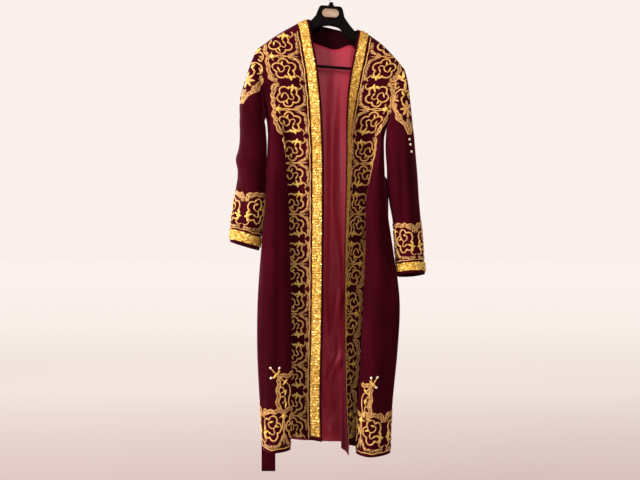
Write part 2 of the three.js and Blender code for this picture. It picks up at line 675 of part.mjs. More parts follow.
function headShape() {
  const right = headOutline.map(([x, z]) => new THREE.Vector2(x, z));
  const left = headOutline.slice(1, -1).reverse().map(([x, z]) => new THREE.Vector2(-x, z));
  return new THREE.Shape([...right, ...left]);
}

// Extrudes an outline given in x and z to a plate between two depths.
function plateOf(shape, fromY, toY, bevel = 0) {
  const geometry = new THREE.ExtrudeGeometry(shape, {
    depth: toY - fromY - 2 * bevel, curveSegments: 8, bevelEnabled: bevel > 0,
    bevelThickness: bevel, bevelSize: bevel, bevelOffset: -bevel, bevelSegments: 1,
  });
  geometry.rotateX(Math.PI / 2);
  return geometry.translate(0, toY - bevel, 0);
}

// One arm: oval rings under the shoulder seam, from inside the head to the tip.
function armSolid(side) {
  const sign = sideSign[side];
  const clear = clothWall + hanger.under;
  const topLine = [
    fromTilted(sign * 58, -121),
    shoulderPoint(side, 0.1).add(vec(0, 0, -clear - 6)),
    ...[0.3, 0.5, 0.7, 0.86, 0.96].map((share) => shoulderPoint(side, share).add(vec(0, 0, -clear))),
  ];
  const line = smoothLine(topLine, [2, 2, 1, 1, 1, 1]);
  const rings = line.map((point, i) => {
    const share = i / (line.length - 1);
    const along = line[Math.min(i + 1, line.length - 1)].clone().sub(line[Math.max(i - 1, 0)]).normalize();
    const up = vec(-along.z, 0, along.x).multiplyScalar(sign);
    const round = share > 0.98 ? 0.7 : 1;
    const high = THREE.MathUtils.lerp(...hanger.armHeight, share) * round;
    const deep = THREE.MathUtils.lerp(...hanger.armDepth, share) * round;
    const centre = point.clone().addScaledVector(up, -high);
    return Array.from({ length: 12 }, (_, k) => {
      const angle = (2 * Math.PI * k) / 12;
      const across = vec(0, deep * Math.sin(angle), 0);
      return centre.clone().addScaledVector(up, high * Math.cos(angle)).add(across);
    });
  });
  return toSolid(cappedLoft(rings));
}

// A closed loft through rings, with a fan at each end.
function cappedLoft(rings) {
  const count = rings[0].length;
  const position = rings.flat().flatMap((p) => [p.x, p.y, p.z]);
  const index = [];
  for (let i = 0; i < rings.length - 1; i++) {
    for (let k = 0; k < count; k++) {
      const next = (k + 1) % count;
      const [a, b, c, d] = [i * count + k, (i + 1) * count + k, (i + 1) * count + next, i * count + next];
      index.push(a, b, c, a, c, d);
    }
  }
  const last = (rings.length - 1) * count;
  for (let k = 1; k < count - 1; k++) index.push(0, k, k + 1, last, last + k + 1, last + k);
  const geometry = new THREE.BufferGeometry();
  geometry.setAttribute('position', new THREE.Float32BufferAttribute(position, 3));
  geometry.setIndex(index);
  return facingOut(geometry);
}

// The trouser bar: a straight rod whose ends turn up into the arms.
function barCurve() {
  const [left, right] = [-1, 1].map((sign) => fromTilted(sign * hanger.barEnd, hanger.barZ));
  const legs = { left: 42, right: 34 };
  const points = [
    left.clone().add(vec(0, 0, legs.left)), left.clone().add(vec(0, 0, 24)), left.clone().add(vec(2, 0, 9)),
    left.clone().lerp(right, 0.03), left.clone().lerp(right, 0.07), left.clone().lerp(right, 0.5),
    right.clone().lerp(left, 0.07), right.clone().lerp(left, 0.03), right.clone().add(vec(-2, 0, 9)),
    right.clone().add(vec(0, 0, 20)), right.clone().add(vec(0, 0, legs.right)),
  ];
  return new THREE.CatmullRomCurve3(points, false, 'centripetal');
}

function rodAlong(curve, radius, steps, sides = 8) {
  const section = new THREE.Shape(Array.from({ length: sides }, (_, k) => {
    const angle = (2 * Math.PI * k) / sides;
    return new THREE.Vector2(radius * Math.cos(angle), radius * Math.sin(angle));
  }));
  return new THREE.ExtrudeGeometry(section, { extrudePath: curve, steps, bevelEnabled: false });
}

function addTilted(name, geometry, material) {
  const mesh = new THREE.Mesh(geometry.translate(0, 0, -hanger.pivotZ), material);
  mesh.name = name;
  tilted.add(mesh);
}

const head = toSolid(plateOf(headShape(), -hanger.headDepth / 2, hanger.headDepth / 2, 2)
  .translate(0, 0, -hanger.pivotZ).rotateY(hangerTilt).translate(0, 0, hanger.pivotZ));
const bar = barCurve();
let hangerBody = head.add(armSolid('right')).add(armSolid('left'));
for (const end of [0, 1]) {
  const socket = new THREE.CylinderGeometry(hanger.barRadius + layerGap, hanger.barRadius + layerGap, 60, 12)
    .rotateX(Math.PI / 2).translate(bar.getPoint(end).x, 0, bar.getPoint(end).z + layerGap - 30);
  hangerBody = hangerBody.subtract(toSolid(socket));
}
addPiece('hanger_body', fromSolid(hangerBody), blackPlastic);
addPiece('hanger_bar', rodAlong(bar, hanger.barRadius, 30), blackPlastic);

// Bare oval plate on the head, in its rim.
function stadium(width, height) {
  const [half, round] = [(width - height) / 2, height / 2];
  const shape = new THREE.Shape();
  shape.absarc(half, 0, round, -Math.PI / 2, Math.PI / 2, false);
  shape.absarc(-half, 0, round, Math.PI / 2, 1.5 * Math.PI, false);
  return shape;
}

const plate = { width: 54, height: 27, rim: 4.2, z: -86, thick: 1.4, rimThick: 2.4 };
const plateFront = -hanger.headDepth / 2 - layerGap;
const rim = stadium(plate.width + 2 * plate.rim, plate.height + 2 * plate.rim);
rim.holes.push(stadium(plate.width + 2 * layerGap, plate.height + 2 * layerGap));
addTilted('hanger_plate', plateOf(stadium(plate.width, plate.height), plateFront - plate.thick, plateFront)
  .translate(0, 0, plate.z), tanPlate);
addTilted('hanger_rim', plateOf(rim, plateFront - plate.rimThick, plateFront).translate(0, 0, plate.z),
  blackPlastic);

// Collar on the head, and the steel hook that comes out of it.
const collarProfile = [[2.8, -61.7], [9, -61.7], [9, -58], [6.5, -56], [6.5, -50], [2.8, -50], [2.8, -61.7]];
addTilted('hanger_collar', new THREE.LatheGeometry(
  collarProfile.map(([radius, z]) => new THREE.Vector2(radius, z)), 20).rotateX(Math.PI / 2), blackPlastic);

function hookCurve() {
  const radius = hanger.crown + hanger.wire;
  const round = [-25, 5, 35, 65, 95, 125, 155, 185].map((degrees) => {
    const angle = THREE.MathUtils.degToRad(degrees);
    return vec(radius * Math.cos(angle), 0, radius * Math.sin(angle) - hanger.crown);
  });
  return new THREE.CatmullRomCurve3(
    [...round, vec(-17, 0, -36), vec(-5, 0, -43), vec(0, 0, -50), vec(0, 0, -61.5)], false, 'centripetal');
}
addTilted('hanger_hook', rodAlong(hookCurve(), hanger.wire, 36), steel);

// The inside of the crown comes to the origin.
robe.position.copy(fromTilted(0, 0).negate());

export default robe;
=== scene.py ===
import math
import random
from functools import partial

import bpy
import numpy as np
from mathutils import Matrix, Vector
from mathutils.bvhtree import BVHTree


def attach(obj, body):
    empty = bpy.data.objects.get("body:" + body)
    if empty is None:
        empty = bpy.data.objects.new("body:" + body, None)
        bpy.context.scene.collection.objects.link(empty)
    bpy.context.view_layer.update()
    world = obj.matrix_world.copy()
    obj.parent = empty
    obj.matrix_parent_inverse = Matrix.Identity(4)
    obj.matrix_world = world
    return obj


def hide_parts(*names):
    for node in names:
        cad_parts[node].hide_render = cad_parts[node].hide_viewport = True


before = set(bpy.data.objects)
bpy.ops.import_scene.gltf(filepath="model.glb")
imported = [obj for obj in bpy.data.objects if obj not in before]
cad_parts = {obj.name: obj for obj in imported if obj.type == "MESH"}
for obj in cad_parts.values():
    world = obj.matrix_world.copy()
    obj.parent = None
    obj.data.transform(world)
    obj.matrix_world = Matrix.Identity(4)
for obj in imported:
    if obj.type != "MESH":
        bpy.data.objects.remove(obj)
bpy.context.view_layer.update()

sides = ("right", "left")  # the wearer's; right is on the -X side
sideSign = {"right": -1, "left": 1}
randomDraw = random.Random(7)

# The robe is drawn in millimetres with the foot of the hook over x = 0, as its solids are,
# and then shifted so that the inside of the hook's crown is the origin.
hook = {"tilt": math.radians(4.5), "foot": 62}
shift = np.array((-hook["foot"] * math.sin(hook["tilt"]), 0,
                  hook["foot"] * (1 - math.cos(hook["tilt"]))))


# Camera, light and floor

studio = {
    "camera": (-0.0401, -2.3, -0.8094), "lens": 40.43, "aim": (0, 0, -0.75),
    "key": {"at": (-2.3, -1.7, 0.1), "size": 1.0, "power": 116},
    "fill": {"at": (0.4, -2.8, 0.5), "size": 1.6, "power": 34},
    "back": {"at": (-2.3, 1.8, 0.3), "size": 1.2, "power": 55},
    "skyWay": (-0.5, 0.8, 0.2),      # the studio is palest behind and to the left
    "sky": ((0.05, (0.36, 0.33, 0.32)), (0.45, (0.36, 0.33, 0.32)), (0.7, (0.956, 0.871, 0.831))),
    # the floor's light is painted: over a nearly black paper it glows, dimmer near and as pale as the sky
    # far off
    "floorZ": -1.74, "floorSize": 60, "floorSpan": (-3, 12), "paper": (0.07, 0.06, 0.058),
    "floorGlow": ((0.0, (0.37, 0.33, 0.315)), (0.18, (0.37, 0.33, 0.315)), (0.232, (0.62, 0.48, 0.45)),
                  (0.34, (0.80, 0.70, 0.66)), (0.55, (0.90, 0.81, 0.77)), (1.0, (0.925, 0.842, 0.802))),
}


def gradient(tree, value, span, stops):
    low, high = span
    share = addNode(tree, "ShaderNodeMapRange", {"Value": value, "From Min": low, "From Max": high})
    return colourRamp(tree, share.outputs["Result"], stops)


def buildStudio():
    bpy.ops.object.camera_add(location=studio["camera"], rotation=(math.pi / 2, 0, 0))
    camera = bpy.context.object
    camera.data.lens = studio["lens"]
    bpy.context.scene.camera = camera
    for name in ("key", "fill", "back"):
        bpy.ops.object.light_add(type="AREA", location=studio[name]["at"])
        light = bpy.context.object
        light.name = name
        light.data.size, light.data.energy = studio[name]["size"], studio[name]["power"]
        aim = Vector(studio["aim"]) - light.location
        light.rotation_euler = aim.to_track_quat("-Z", "Y").to_euler()
    bpy.context.scene.view_settings.view_transform = "Standard"
    world = bpy.data.worlds.new("studio")
    bpy.context.scene.world = world
    world.use_nodes = True
    tree = world.node_tree
    view = addNode(tree, "ShaderNodeTexCoord").outputs["Generated"]
    way = addNode(tree, "ShaderNodeVectorMath", {0: view, 1: studio["skyWay"]}, operation="DOT_PRODUCT")
    tree.links.new(gradient(tree, way.outputs["Value"], (-1.0, 1.0), studio["sky"]),
                   tree.nodes["Background"].inputs["Color"])
    bpy.ops.mesh.primitive_plane_add(size=studio["floorSize"], location=(0, 0, studio["floorZ"]))
    floor = bpy.context.object
    floor.name = "floor"
    paper, tree, shader = newMaterial("floorPaper")
    place = addNode(tree, "ShaderNodeTexCoord").outputs["Object"]
    away = addNode(tree, "ShaderNodeSeparateXYZ", {0: place}).outputs["Y"]
    # painted light: the floor's own glow, graded from near to far, stands in for its lighting
    tree.links.new(gradient(tree, away, studio["floorSpan"], studio["floorGlow"]),
                   shader.inputs["Emission Color"])
    shader.inputs["Base Color"].default_value = (*studio["paper"], 1)
    shader.inputs["Roughness"].default_value = 0.95
    shader.inputs["Specular IOR Level"].default_value = 0.0
    shader.inputs["Emission Strength"].default_value = 1.0
    floor.data.materials.append(paper)


# The forms of the panels: the same tables as the solids, in millimetres

shoulders = {
    "right": {"neck": (-74, -104), "point": (-240, -202), "bow": 9, "underarm": (-208, -419)},
    "left": {"neck": (90, -138), "point": (235, -263), "bow": 17, "underarm": (177, -455)},
}
armholeShape = {"middleY": 2, "front": 32, "back": 36}

# Upper sections: free edge, turn to the back (degrees), swell, place on the armhole
upperFront = {
    "right": [((-74, 0, -104), 0, 0, 0), ((-69, -20, -120), 0, -3, 26), ((-58, -23, -178), 4, -5, 56),
              ((-43, -22, -262), 4, -7, 88), ((-33, -18, -352), 2, -9, 126)],
    "left": [((90, 0, -138), 0, 0, 0), ((87, -20, -153), 4, -3, 26), ((77, -29, -205), 12, -3, 56),
             ((61, -37, -282), 24, -4, 88), ((51, -46, -368), 46, 0, 126)],
}
upperBow = (1, 0.9, 0.5, 0.2, 0)
upperShares = (0.2, 0.4, 0.56, 0.7, 0.82, 0.92)

# Lower sections: height, then x and y of each fold line. The lines are the edge, the braid's and the
# band's far side, valley, under, ridge, crest, outer and side seam
lowerFront = {
    "right": [
        (-430, (-28, -14), (-64, -17), (-104, -19), (-140, -19), (-152, -21), (-158, -27), (-180, -34),
         (-199, -20), (-208, 2)),
        (-521, (-24, -12), (-60, -14), (-100, -12), (-148, -8), (-152, -16), (-147, -30), (-180, -45),
         (-202, -22), (-200, 14)),
        (-681, (-23, -13), (-59, -13), (-98, -8), (-150, 0), (-158, -14), (-134, -38), (-180, -60),
         (-204, -30), (-201, 18)),
        (-841, (-24, -14), (-60, -14), (-98, -7), (-151, 3), (-162, -14), (-129, -45), (-180, -70),
         (-220, -38), (-217, 18)),
        (-1001, (-25, -15), (-61, -14), (-99, -7), (-152, 4), (-164, -14), (-125, -50), (-180, -78),
         (-230, -41), (-226, 20)),
        (-1161, (-28, -15), (-64, -13), (-101, -6), (-153, 5), (-165, -14), (-123, -54), (-180, -84),
         (-231, -43), (-226, 20)),
        (-1321, (-31, -15), (-67, -12), (-102, -5), (-153, 5), (-165, -14), (-125, -56), (-180, -88),
         (-223, -47), (-217, 20)),
        (-1462, (-28, -15), (-64, -12), (-101, -4), (-152, 6), (-165, -13), (-127, -56), (-180, -90),
         (-213, -50), (-206, 20)),
    ],
    "left": [
        (-458, (48, -54), (63, -21), (94, 3), (124, 7), (140, -2), (149, -16), (160, -25), (171, -14),
         (177, 2)),
        (-521, (48, -60), (61, -27), (89, 5), (119, 11), (137, 0), (145, -22), (156, -37), (169, -12),
         (165, 18)),
        (-681, (45, -67), (54, -32), (78, 5), (103, 15), (119, 2), (111, -34), (132, -58), (174, -30),
         (171, 22)),
        (-841, (42, -75), (48, -39), (64, 2), (92, 18), (113, 4), (109, -40), (131, -67), (194, -34),
         (190, 22)),
        (-1001, (42, -80), (43, -44), (55, 0), (86, 20), (110, 6), (101, -46), (126, -75), (214, -38),
         (206, 22)),
        (-1161, (43, -82), (42, -46), (46, -2), (78, 20), (105, 7), (93, -50), (121, -81), (207, -40),
         (200, 22)),
        (-1321, (47, -84), (43, -48), (39, -4), (68, 20), (94, 6), (84, -53), (118, -85), (190, -42),
         (184, 22)),
        (-1474, (54, -86), (47, -51), (34, -6), (60, 20), (83, 6), (79, -55), (118, -88), (184, -45),
         (179, 20)),
    ],
}
hemDrop = {"right": (10, 16, 22, 20, 10, -1, -4, -1, 8), "left": (1, 3, 3, 2, 0, -3, -5, -4, 0)}

# The back: right and left point of the nape, middle, way from the seam, share of its depth
backSections = (
    ((-50, 24, -112), (64, 24, -138), (10, 31, -126), 0, 0),
    ((-48, 30, -128), (64, 30, -159), (11, 34, -141), 0.28, 0.86),
    ((-48, 34, -174), (66, 34, -179), (14, 37, -192), 0.6, 1),
    ((-50, 37, -270), (56, 37, -280), (8, 39, -275), 0.8, 1),
    ((-54, 39, -360), (52, 39, -366), (4, 40, -363), 1, 1),
)
backKnots = ((1, 0), (0.66, 0.27), (0.33, 0.52), (0, 0.7))
backDepth = 42
backFolds = ((0.2, -520, 9, 0.09), (0.43, -640, 7, 0.08), (0.64, -480, 10, 0.09), (0.85, -700, 7, 0.07))

# Sleeve rings: outer and inner outline, half depth
sleeveRings = {
    "right": [
        ((-255, -243), (-212, -430), 42), ((-275, -302), (-209, -446), 48),
        ((-291, -368), (-207, -472), 52), ((-291, -440), (-205, -504), 54),
        ((-293, -506), (-205, -540), 54), ((-304, -554), (-205, -576), 56),
        ((-298, -590), (-206, -604), 53), ((-304, -646), (-208, -656), 56),
        ((-313, -704), (-212, -712), 57), ((-319, -748), (-218, -764), 57),
        ((-321, -771), (-224, -799), 56), ((-322, -803), (-228, -829), 55),
        ((-322, -811), (-229, -838), 55),
    ],
    "left": [
        ((242, -290), (176, -466), 44), ((250, -338), (175, -482), 48), ((257, -396), (174, -505), 51),
        ((264, -466), (175, -540), 53), ((270, -534), (178, -580), 54), ((276, -606), (179, -634), 55),
        ((280, -672), (186, -690), 56), ((285, -732), (196, -742), 56), ((290, -786), (202, -792), 55),
        ((294, -834), (205, -840), 54), ((297, -875), (207, -881), 53), ((299, -901), (209, -905), 53),
        ((300, -909), (210, -915), 53),
    ],
}
sleeveMiddleY = -4
cuffDrop = {"right": 9, "left": 18, "grow": (0, 0.4, 1, 1, 1)}

cloth = {
    "wall": 1.8, "margin": 6, "braid": 30,
    "upperRows": 8, "lowerRows": 20,
    "columns": (8, 8, 8, 6, 9, 12, 10, 8),           # after each fold line
    "backColumns": (12, 10, 6, 12, 14, 14, 12, 6, 10, 12),
    "sleeveRows": 6,
}


def lerp(a, b, share):
    return np.asarray(a, float) * (1 - share) + np.asarray(b, float) * share


def unit(vectors):
    return vectors / np.maximum(np.linalg.norm(vectors, axis=-1, keepdims=True), 1e-9)


def reachAlong(points):
    # length run so far at each point of a line, or of each line in a row of them
    steps = np.linalg.norm(np.diff(points, axis=-2), axis=-1)
    return np.concatenate((np.zeros_like(steps[..., :1]), np.cumsum(steps, axis=-1)), axis=-1)


def smoothLine(points, steps):
    # centripetal spline through the points, with its own number of steps after each one
    points = np.asarray(points, float)
    ahead = np.vstack((2 * points[0] - points[1], points, 2 * points[-1] - points[-2]))
    gaps = np.maximum(np.linalg.norm(np.diff(ahead, axis=0), axis=1) ** 0.5, 1e-4)
    line = []
    for i, count in enumerate(steps):
        p0, p1, p2, p3 = ahead[i:i + 4]
        d0, d1, d2 = gaps[i:i + 3]
        t1 = d1 * ((p1 - p0) / d0 - (p2 - p0) / (d0 + d1) + (p2 - p1) / d1)
        t2 = d1 * ((p2 - p1) / d1 - (p3 - p1) / (d1 + d2) + (p3 - p2) / d2)
        t = (np.arange(count) / count)[:, None]
        line.append(p1 + t * t1 + t * t * (3 * (p2 - p1) - 2 * t1 - t2)
                    + t ** 3 * (2 * (p1 - p2) + t1 + t2))
    return np.vstack(line + [points[-1:]])


def downLine(points, isBorder):
    # a border runs down the armhole and then the side seam, with a corner between
    corner = len(backSections)
    steps = [cloth["upperRows"]] * corner + [cloth["lowerRows"]] * (len(points) - 1 - corner)
    if not isBorder:
        return smoothLine(points, steps)
    armhole = smoothLine(points[:corner + 1], steps[:corner])
    return np.vstack((armhole[:-1], smoothLine(points[corner:], steps[corner:])))


def downSections(sections, borders):
    # many sections, on smooth lines down through the given ones
    return np.stack([downLine([section[k] for section in sections], k in borders)
                     for k in range(len(sections[0]))], axis=1)


def armholePoint(side, angle, face):
    # angle in degrees from the shoulder point, face -1 front and +1 back
    share = (1 + math.cos(math.radians(angle))) / 2
    depth = armholeShape["front" if face < 0 else "back"]
    x, z = lerp(shoulders[side]["underarm"], shoulders[side]["point"], share)
    return (x, armholeShape["middleY"] * (1 - share) + face * depth * math.sin(math.radians(angle)), z)


def shoulderPoint(side, share):
    seam = shoulders[side]
    x, z = lerp(seam["neck"], seam["point"], share)
    return (x, 0, z + seam["bow"] * math.sin(math.pi * share))


def upperSection(side, i):
    edge, turn, swell, angle = upperFront[side][i]
    bow = shoulders[side]["bow"]
    seam = np.subtract(shoulders[side]["point"], shoulders[side]["neck"])
    reach = cloth["margin"] + cloth["braid"]
    if i == 0:
        first = reach / np.linalg.norm(seam)
        shares = (0, first, *(first + s * (1 - first) for s in upperShares), 1)
        return [shoulderPoint(side, share) for share in shares]
    edge = np.array(edge, float)
    hole = np.array(armholePoint(side, angle, -1))
    slope = (hole[2] - edge[2]) / abs(hole[0] - edge[0])
    turn = math.radians(turn)
    level, inward = math.cos(turn), math.sin(turn)
    flat = reach / math.hypot(1, slope * level)
    braid = edge + flat * np.array((sideSign[side] * level, inward, slope * level))
    bulge = np.array((0, swell, bow * upperBow[i]))
    between = [lerp(braid, hole, share) + bulge * math.sin(math.pi * share) for share in upperShares]
    return [edge, braid, *between, hole]


def lowerSection(side, i):
    z, *line = lowerFront[side][i]
    drops = hemDrop[side] if i == len(lowerFront[side]) - 1 else [0] * len(line)
    points = [(x, y, z + drop) for (x, y), drop in zip(line, drops)]
    if i == 0:
        points[-1] = armholePoint(side, 180, -1)
    return points


def frontGrid(side):
    sections = [upperSection(side, i) for i in range(len(upperFront[side]))]
    sections += [lowerSection(side, i) for i in range(len(lowerFront[side]))]
    first, *columns = cloth["columns"]
    rows = []
    for section in downSections(sections, (len(sections[0]) - 1,)):
        strip = lerp(section[0], section[1], (np.arange(first) / first)[:, None])
        rows.append(np.vstack((strip, smoothLine(section, (1, *columns))[1:])))
    return np.array(rows)


def backUpperSection(i):
    right, left, middle, down, out = backSections[i]
    halves = []
    for side in sides:
        end = np.array(armholePoint(side, upperFront[side][i][3], 1))
        half = [end]
        for seam, inward in backKnots[1:]:
            hanging = lerp(end, middle, inward)
            hanging[1] = end[1] + (middle[1] - end[1]) * math.sin(inward * math.pi / 2)
            point = lerp(shoulderPoint(side, seam), hanging, down)
            point[1] = hanging[1] * out
            half.append(point)
        halves.append(half)
    return [*halves[0], right, middle, left, *reversed(halves[1])]


def backLowerSection(i):
    last = len(lowerFront["right"]) - 1
    ends = []
    for side in sides:
        z, *line = lowerFront[side][i]
        drop = hemDrop[side][-1] if i == last else 0
        ends.append(np.array(armholePoint(side, 180, 1) if i == 0 else (*line[-1], z + drop), float))
    count = len(cloth["backColumns"])
    points = []
    for k in range(count + 1):
        share = k / count
        point = lerp(ends[0], ends[1], share)
        point[1] += (backDepth - point[1]) * min(1, 2.4 * math.sin(math.pi * share))
        for at, start, deep, wide in backFolds if 0 < k < count else ():
            grow = min(max((start - point[2]) / 520, 0), 1)
            grow = grow * grow * (3 - 2 * grow)
            point[1] += deep * grow * math.exp(-((share - at) / wide) ** 2)
        points.append(point)
    return points


def backGrid():
    sections = [backUpperSection(i) for i in range(len(backSections))]
    sections += [backLowerSection(i) for i in range(len(lowerFront["right"]))]
    rows = downSections(sections, (0, len(sections[0]) - 1))
    return np.array([smoothLine(section, cloth["backColumns"]) for section in rows])


def sleeveGrid(side, armholeLoop):
    count = len(armholeLoop)
    angles = 2 * np.pi * np.arange(count) / count
    rings = sleeveRings[side]
    drops = [0] * (len(rings) - len(cuffDrop["grow"])) + list(cuffDrop["grow"])
    knots = [armholeLoop]
    for (outer, inner, half), drop in zip(rings, drops):
        top = np.array((outer[0], sleeveMiddleY, outer[1]))
        bottom = np.array((inner[0], sleeveMiddleY, inner[1]))
        ring = lerp(top, bottom, 0.5) + np.cos(angles)[:, None] * (top - bottom) / 2
        ring[:, 1] -= half * np.sin(angles)
        ring[:, 2] -= drop * cuffDrop[side] * (1 - np.sin(angles)) / 2
        knots.append(ring)
    knots = np.stack(knots)
    steps = [cloth["sleeveRows"]] * len(rings)
    return np.stack([smoothLine(knots[:, j], steps) for j in range(count)], axis=1)


def gridNormals(grid, facing, wrap=False):
    if wrap:
        across = np.roll(grid, -1, axis=1) - np.roll(grid, 1, axis=1)
    else:
        across = np.gradient(grid, axis=1)
    return unit(np.cross(across, np.gradient(grid, axis=0)) * facing)


# Soft creases: from x and z, to x and z, depth (in is negative), half width, and the face (-1 front)
# where only one face has it

creases = {
    "front_right": [
        (-196, -470, -212, -1180, 3, 14, -1), (-168, -620, -160, -1400, -3, 10, -1),
        (-188, -900, -198, -1430, 3, 10, -1), (-222, -560, -226, -1050, -3, 8, -1),
        (-214, -330, -196, -560, -3, 9, -1), (-206, -1120, -212, -1440, -2.5, 8, -1),
        (-150, -160, -214, -300, 2.5, 13, -1), (-188, -240, -150, -420, -2.5, 10, -1),
    ],
    "front_left": [
        (150, -520, 146, -1240, 3, 10, -1), (176, -560, 196, -1180, -3.5, 9, -1),
        (120, -800, 110, -1400, -2.5, 8, -1), (203, -880, 188, -1400, 3, 8, -1),
        (172, -420, 140, -640, -3, 9, -1), (160, -1160, 150, -1440, -3, 9, -1),
        (140, -210, 200, -340, 2.5, 13, -1), (186, -330, 160, -470, 3, 9, -1),
    ],
    "sleeve_right": [
        (-282, -474, -254, -560, -4, 8, -1), (-304, -528, -222, -546, -4, 9, -1),
        (-296, -420, -250, -500, 3, 10, -1), (-280, -330, -262, -470, 3, 12, -1),
        (-300, -600, -262, -700, -3, 10, -1), (-262, -640, -252, -790, 3, 10, -1),
        (-286, -700, -280, -815, -3, 9, -1), (-300, -520, -230, -560, -5, 10, 1),
        (-290, -430, -240, -520, -4, 10, 1), (-270, -620, -262, -790, -4, 10, 1),
    ],
    "sleeve_left": [
        (198, -420, 206, -880, 3, 7, -1), (190, -440, 198, -690, -4, 6, -1),
        (230, -420, 246, -900, 4, 10, -1), (216, -520, 226, -880, -4, 7, -1),
        (262, -500, 272, -890, -3, 9, -1), (240, -330, 262, -470, -3, 10, -1),
        (225, -430, 240, -900, -5, 10, 1), (262, -500, 276, -900, 4, 11, 1),
    ],
    "back": [
        (-120, -480, -132, -1400, 4, 16, 1), (62, -420, 74, -1380, -7, 15, 1),
        (-22, -700, -12, -1440, 4, 13, 1), (132, -660, 142, -1420, 4, 13, 1),
        (-206, -420, -110, -580, -8, 16, 1), (176, -450, 96, -620, -8, 16, 1),
        (-70, -620, -82, -1240, -7, 15, 1), (-172, -740, -184, -1360, -7, 14, 1),
        (-90, -190, -170, -330, 4, 16, 1), (100, -220, 172, -370, 4, 16, 1),
        (20, -200, 8, -520, -5, 18, 1), (20, -820, 34, -1440, -6, 14, 1),
    ],
    "lining": [
        (40, -1165, -18, -1285, 13, 14), (-22, -1270, -2, -1365, 10, 14), (2, -1110, 16, -1205, -6, 13),
        (-14, -1392, 26, -1374, -6, 11), (4, -1420, -16, -1462, 10, 13), (36, -1270, 26, -1475, -6, 13),
        (30, -960, 4, -1120, 9, 13), (-20, -960, -10, -1140, -5, 11), (8, -700, 30, -960, 6, 11),
        (4, -380, 0, -1000, 6, 9), (-16, -260, -20, -960, -4, 10), (28, -300, 22, -760, -5, 10),
    ],
}


def creaseDepth(grid, normals, name):
    depth = np.zeros(grid.shape[:2])
    flat = grid[..., (0, 2)]
    for x, z, toX, toZ, deep, wide, *face in creases[name]:
        start, along = np.array((x, z), float), np.array((toX - x, toZ - z))
        share = np.clip((flat - start) @ along / (along @ along), 0, 1)
        away = np.linalg.norm(flat - start - share[..., None] * along, axis=2)
        fade = 1 - np.abs(2 * share - 1) ** 3
        facing = np.clip(normals[..., 1] * face[0] * 2 + 0.3, 0, 1) if face else 1
        depth += deep * fade * facing * np.exp(-(away / wide) ** 2)
    return depth[..., None]


# Mesh making

def meshObject(name, points, faces, uvs, smooth=True):
    # points are in the drawing's millimetres
    mesh = bpy.data.meshes.new(name)
    mesh.from_pydata((np.asarray(points) + shift) * 0.001, [], faces)
    layer = mesh.uv_layers.new(name="cloth")
    index = np.empty(len(mesh.loops), dtype=np.int32)
    mesh.loops.foreach_get("vertex_index", index)
    layer.data.foreach_set("uv", np.asarray(uvs)[index].astype(np.float32).ravel())
    mesh.polygons.foreach_set("use_smooth", [smooth] * len(mesh.polygons))
    mesh.update()
    piece = bpy.data.objects.new(name, mesh)
    bpy.context.collection.objects.link(piece)
    return piece


def gridFaces(rows, columns, facing, wrap=False):
    faces = []
    for i in range(rows - 1):
        for j in range(columns if wrap else columns - 1):
            k = (j + 1) % columns
            face = (i * columns + j, i * columns + k, (i + 1) * columns + k, (i + 1) * columns + j)
            faces.append(face if facing > 0 else face[::-1])
    return faces


def gridTree(grid, facing, wrap=False):
    return BVHTree.FromPolygons([Vector(p) for p in grid.reshape(-1, 3)],
                                gridFaces(*grid.shape[:2], facing, wrap))


def applyModifier(piece, kind, **values):
    bpy.ops.object.select_all(action="DESELECT")
    piece.select_set(True)
    bpy.context.view_layer.objects.active = piece
    modifier = piece.modifiers.new(kind.title(), kind)
    for key, value in values.items():
        setattr(modifier, key, value)
    bpy.ops.object.modifier_apply(modifier=modifier.name)


def gridUv(grid):
    down = reachAlong(grid.transpose(1, 0, 2)).T
    return np.stack((reachAlong(grid), -down), axis=2).reshape(-1, 2) * 0.001


def dress(piece, node=None):
    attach(piece, "root")
    if node:
        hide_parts(node)


def clothShell(name, grid, facing, wall, material, node, wrap=False):
    # a thin closed shell that stands for its solid
    piece = meshObject(name, grid.reshape(-1, 3), gridFaces(*grid.shape[:2], facing, wrap), gridUv(grid))
    piece.data.materials.append(materials[material])
    applyModifier(piece, "SOLIDIFY", thickness=wall * 0.001, offset=-1)
    dress(piece, node)
    return piece


# Surfaces that sewn work lies on, with a point every few millimetres

surfaceStep = 4
clearOf = {"side": 2, "top": 3, "hem": 1}       # how far sewn work stays from a panel's edges


def evenRows(rows):
    reach = reachAlong(rows)
    across = np.arange(0, reach[:, -1].max() + surfaceStep, surfaceStep)
    points = [np.stack([np.interp(across, run, row[:, axis]) for axis in range(3)], axis=1)
              for run, row in zip(reach, rows)]
    return np.stack(points), across, reach


def panelSurface(grid, facing):
    # a regular surface in s, across the cloth from the free edge, and z
    levels = np.arange(grid[..., 2].max(), grid[..., 2].min(), -surfaceStep)
    columns = [np.stack([np.interp(-levels, -line[:, 2], line[:, axis]) for axis in (0, 1)], axis=1)
               for line in grid.transpose(1, 0, 2)]
    slices = np.stack(columns, axis=1)
    slices = np.dstack((slices, np.repeat(levels[:, None], slices.shape[1], axis=1)))
    points, across, reach = evenRows(slices)
    order = np.argsort(grid[0, :, 0])
    tops = np.interp(points[..., 0], grid[0, order, 0], grid[0, order, 2])
    hemLine = (reachAlong(grid[-1]), grid[-1, :, 2])
    heights = levels[:, None]
    inside = ((across <= reach[:, -1:] - clearOf["side"]) & (heights < tops - clearOf["top"])
              & (heights > np.interp(across, *hemLine) + clearOf["hem"]))
    return {"points": points, "normals": gridNormals(points, facing), "inside": inside,
            "hem": hemLine, "zTop": levels[0]}


def wayDown(grid):
    # length down the middle of a sleeve, at each row
    return reachAlong(grid.mean(axis=1))


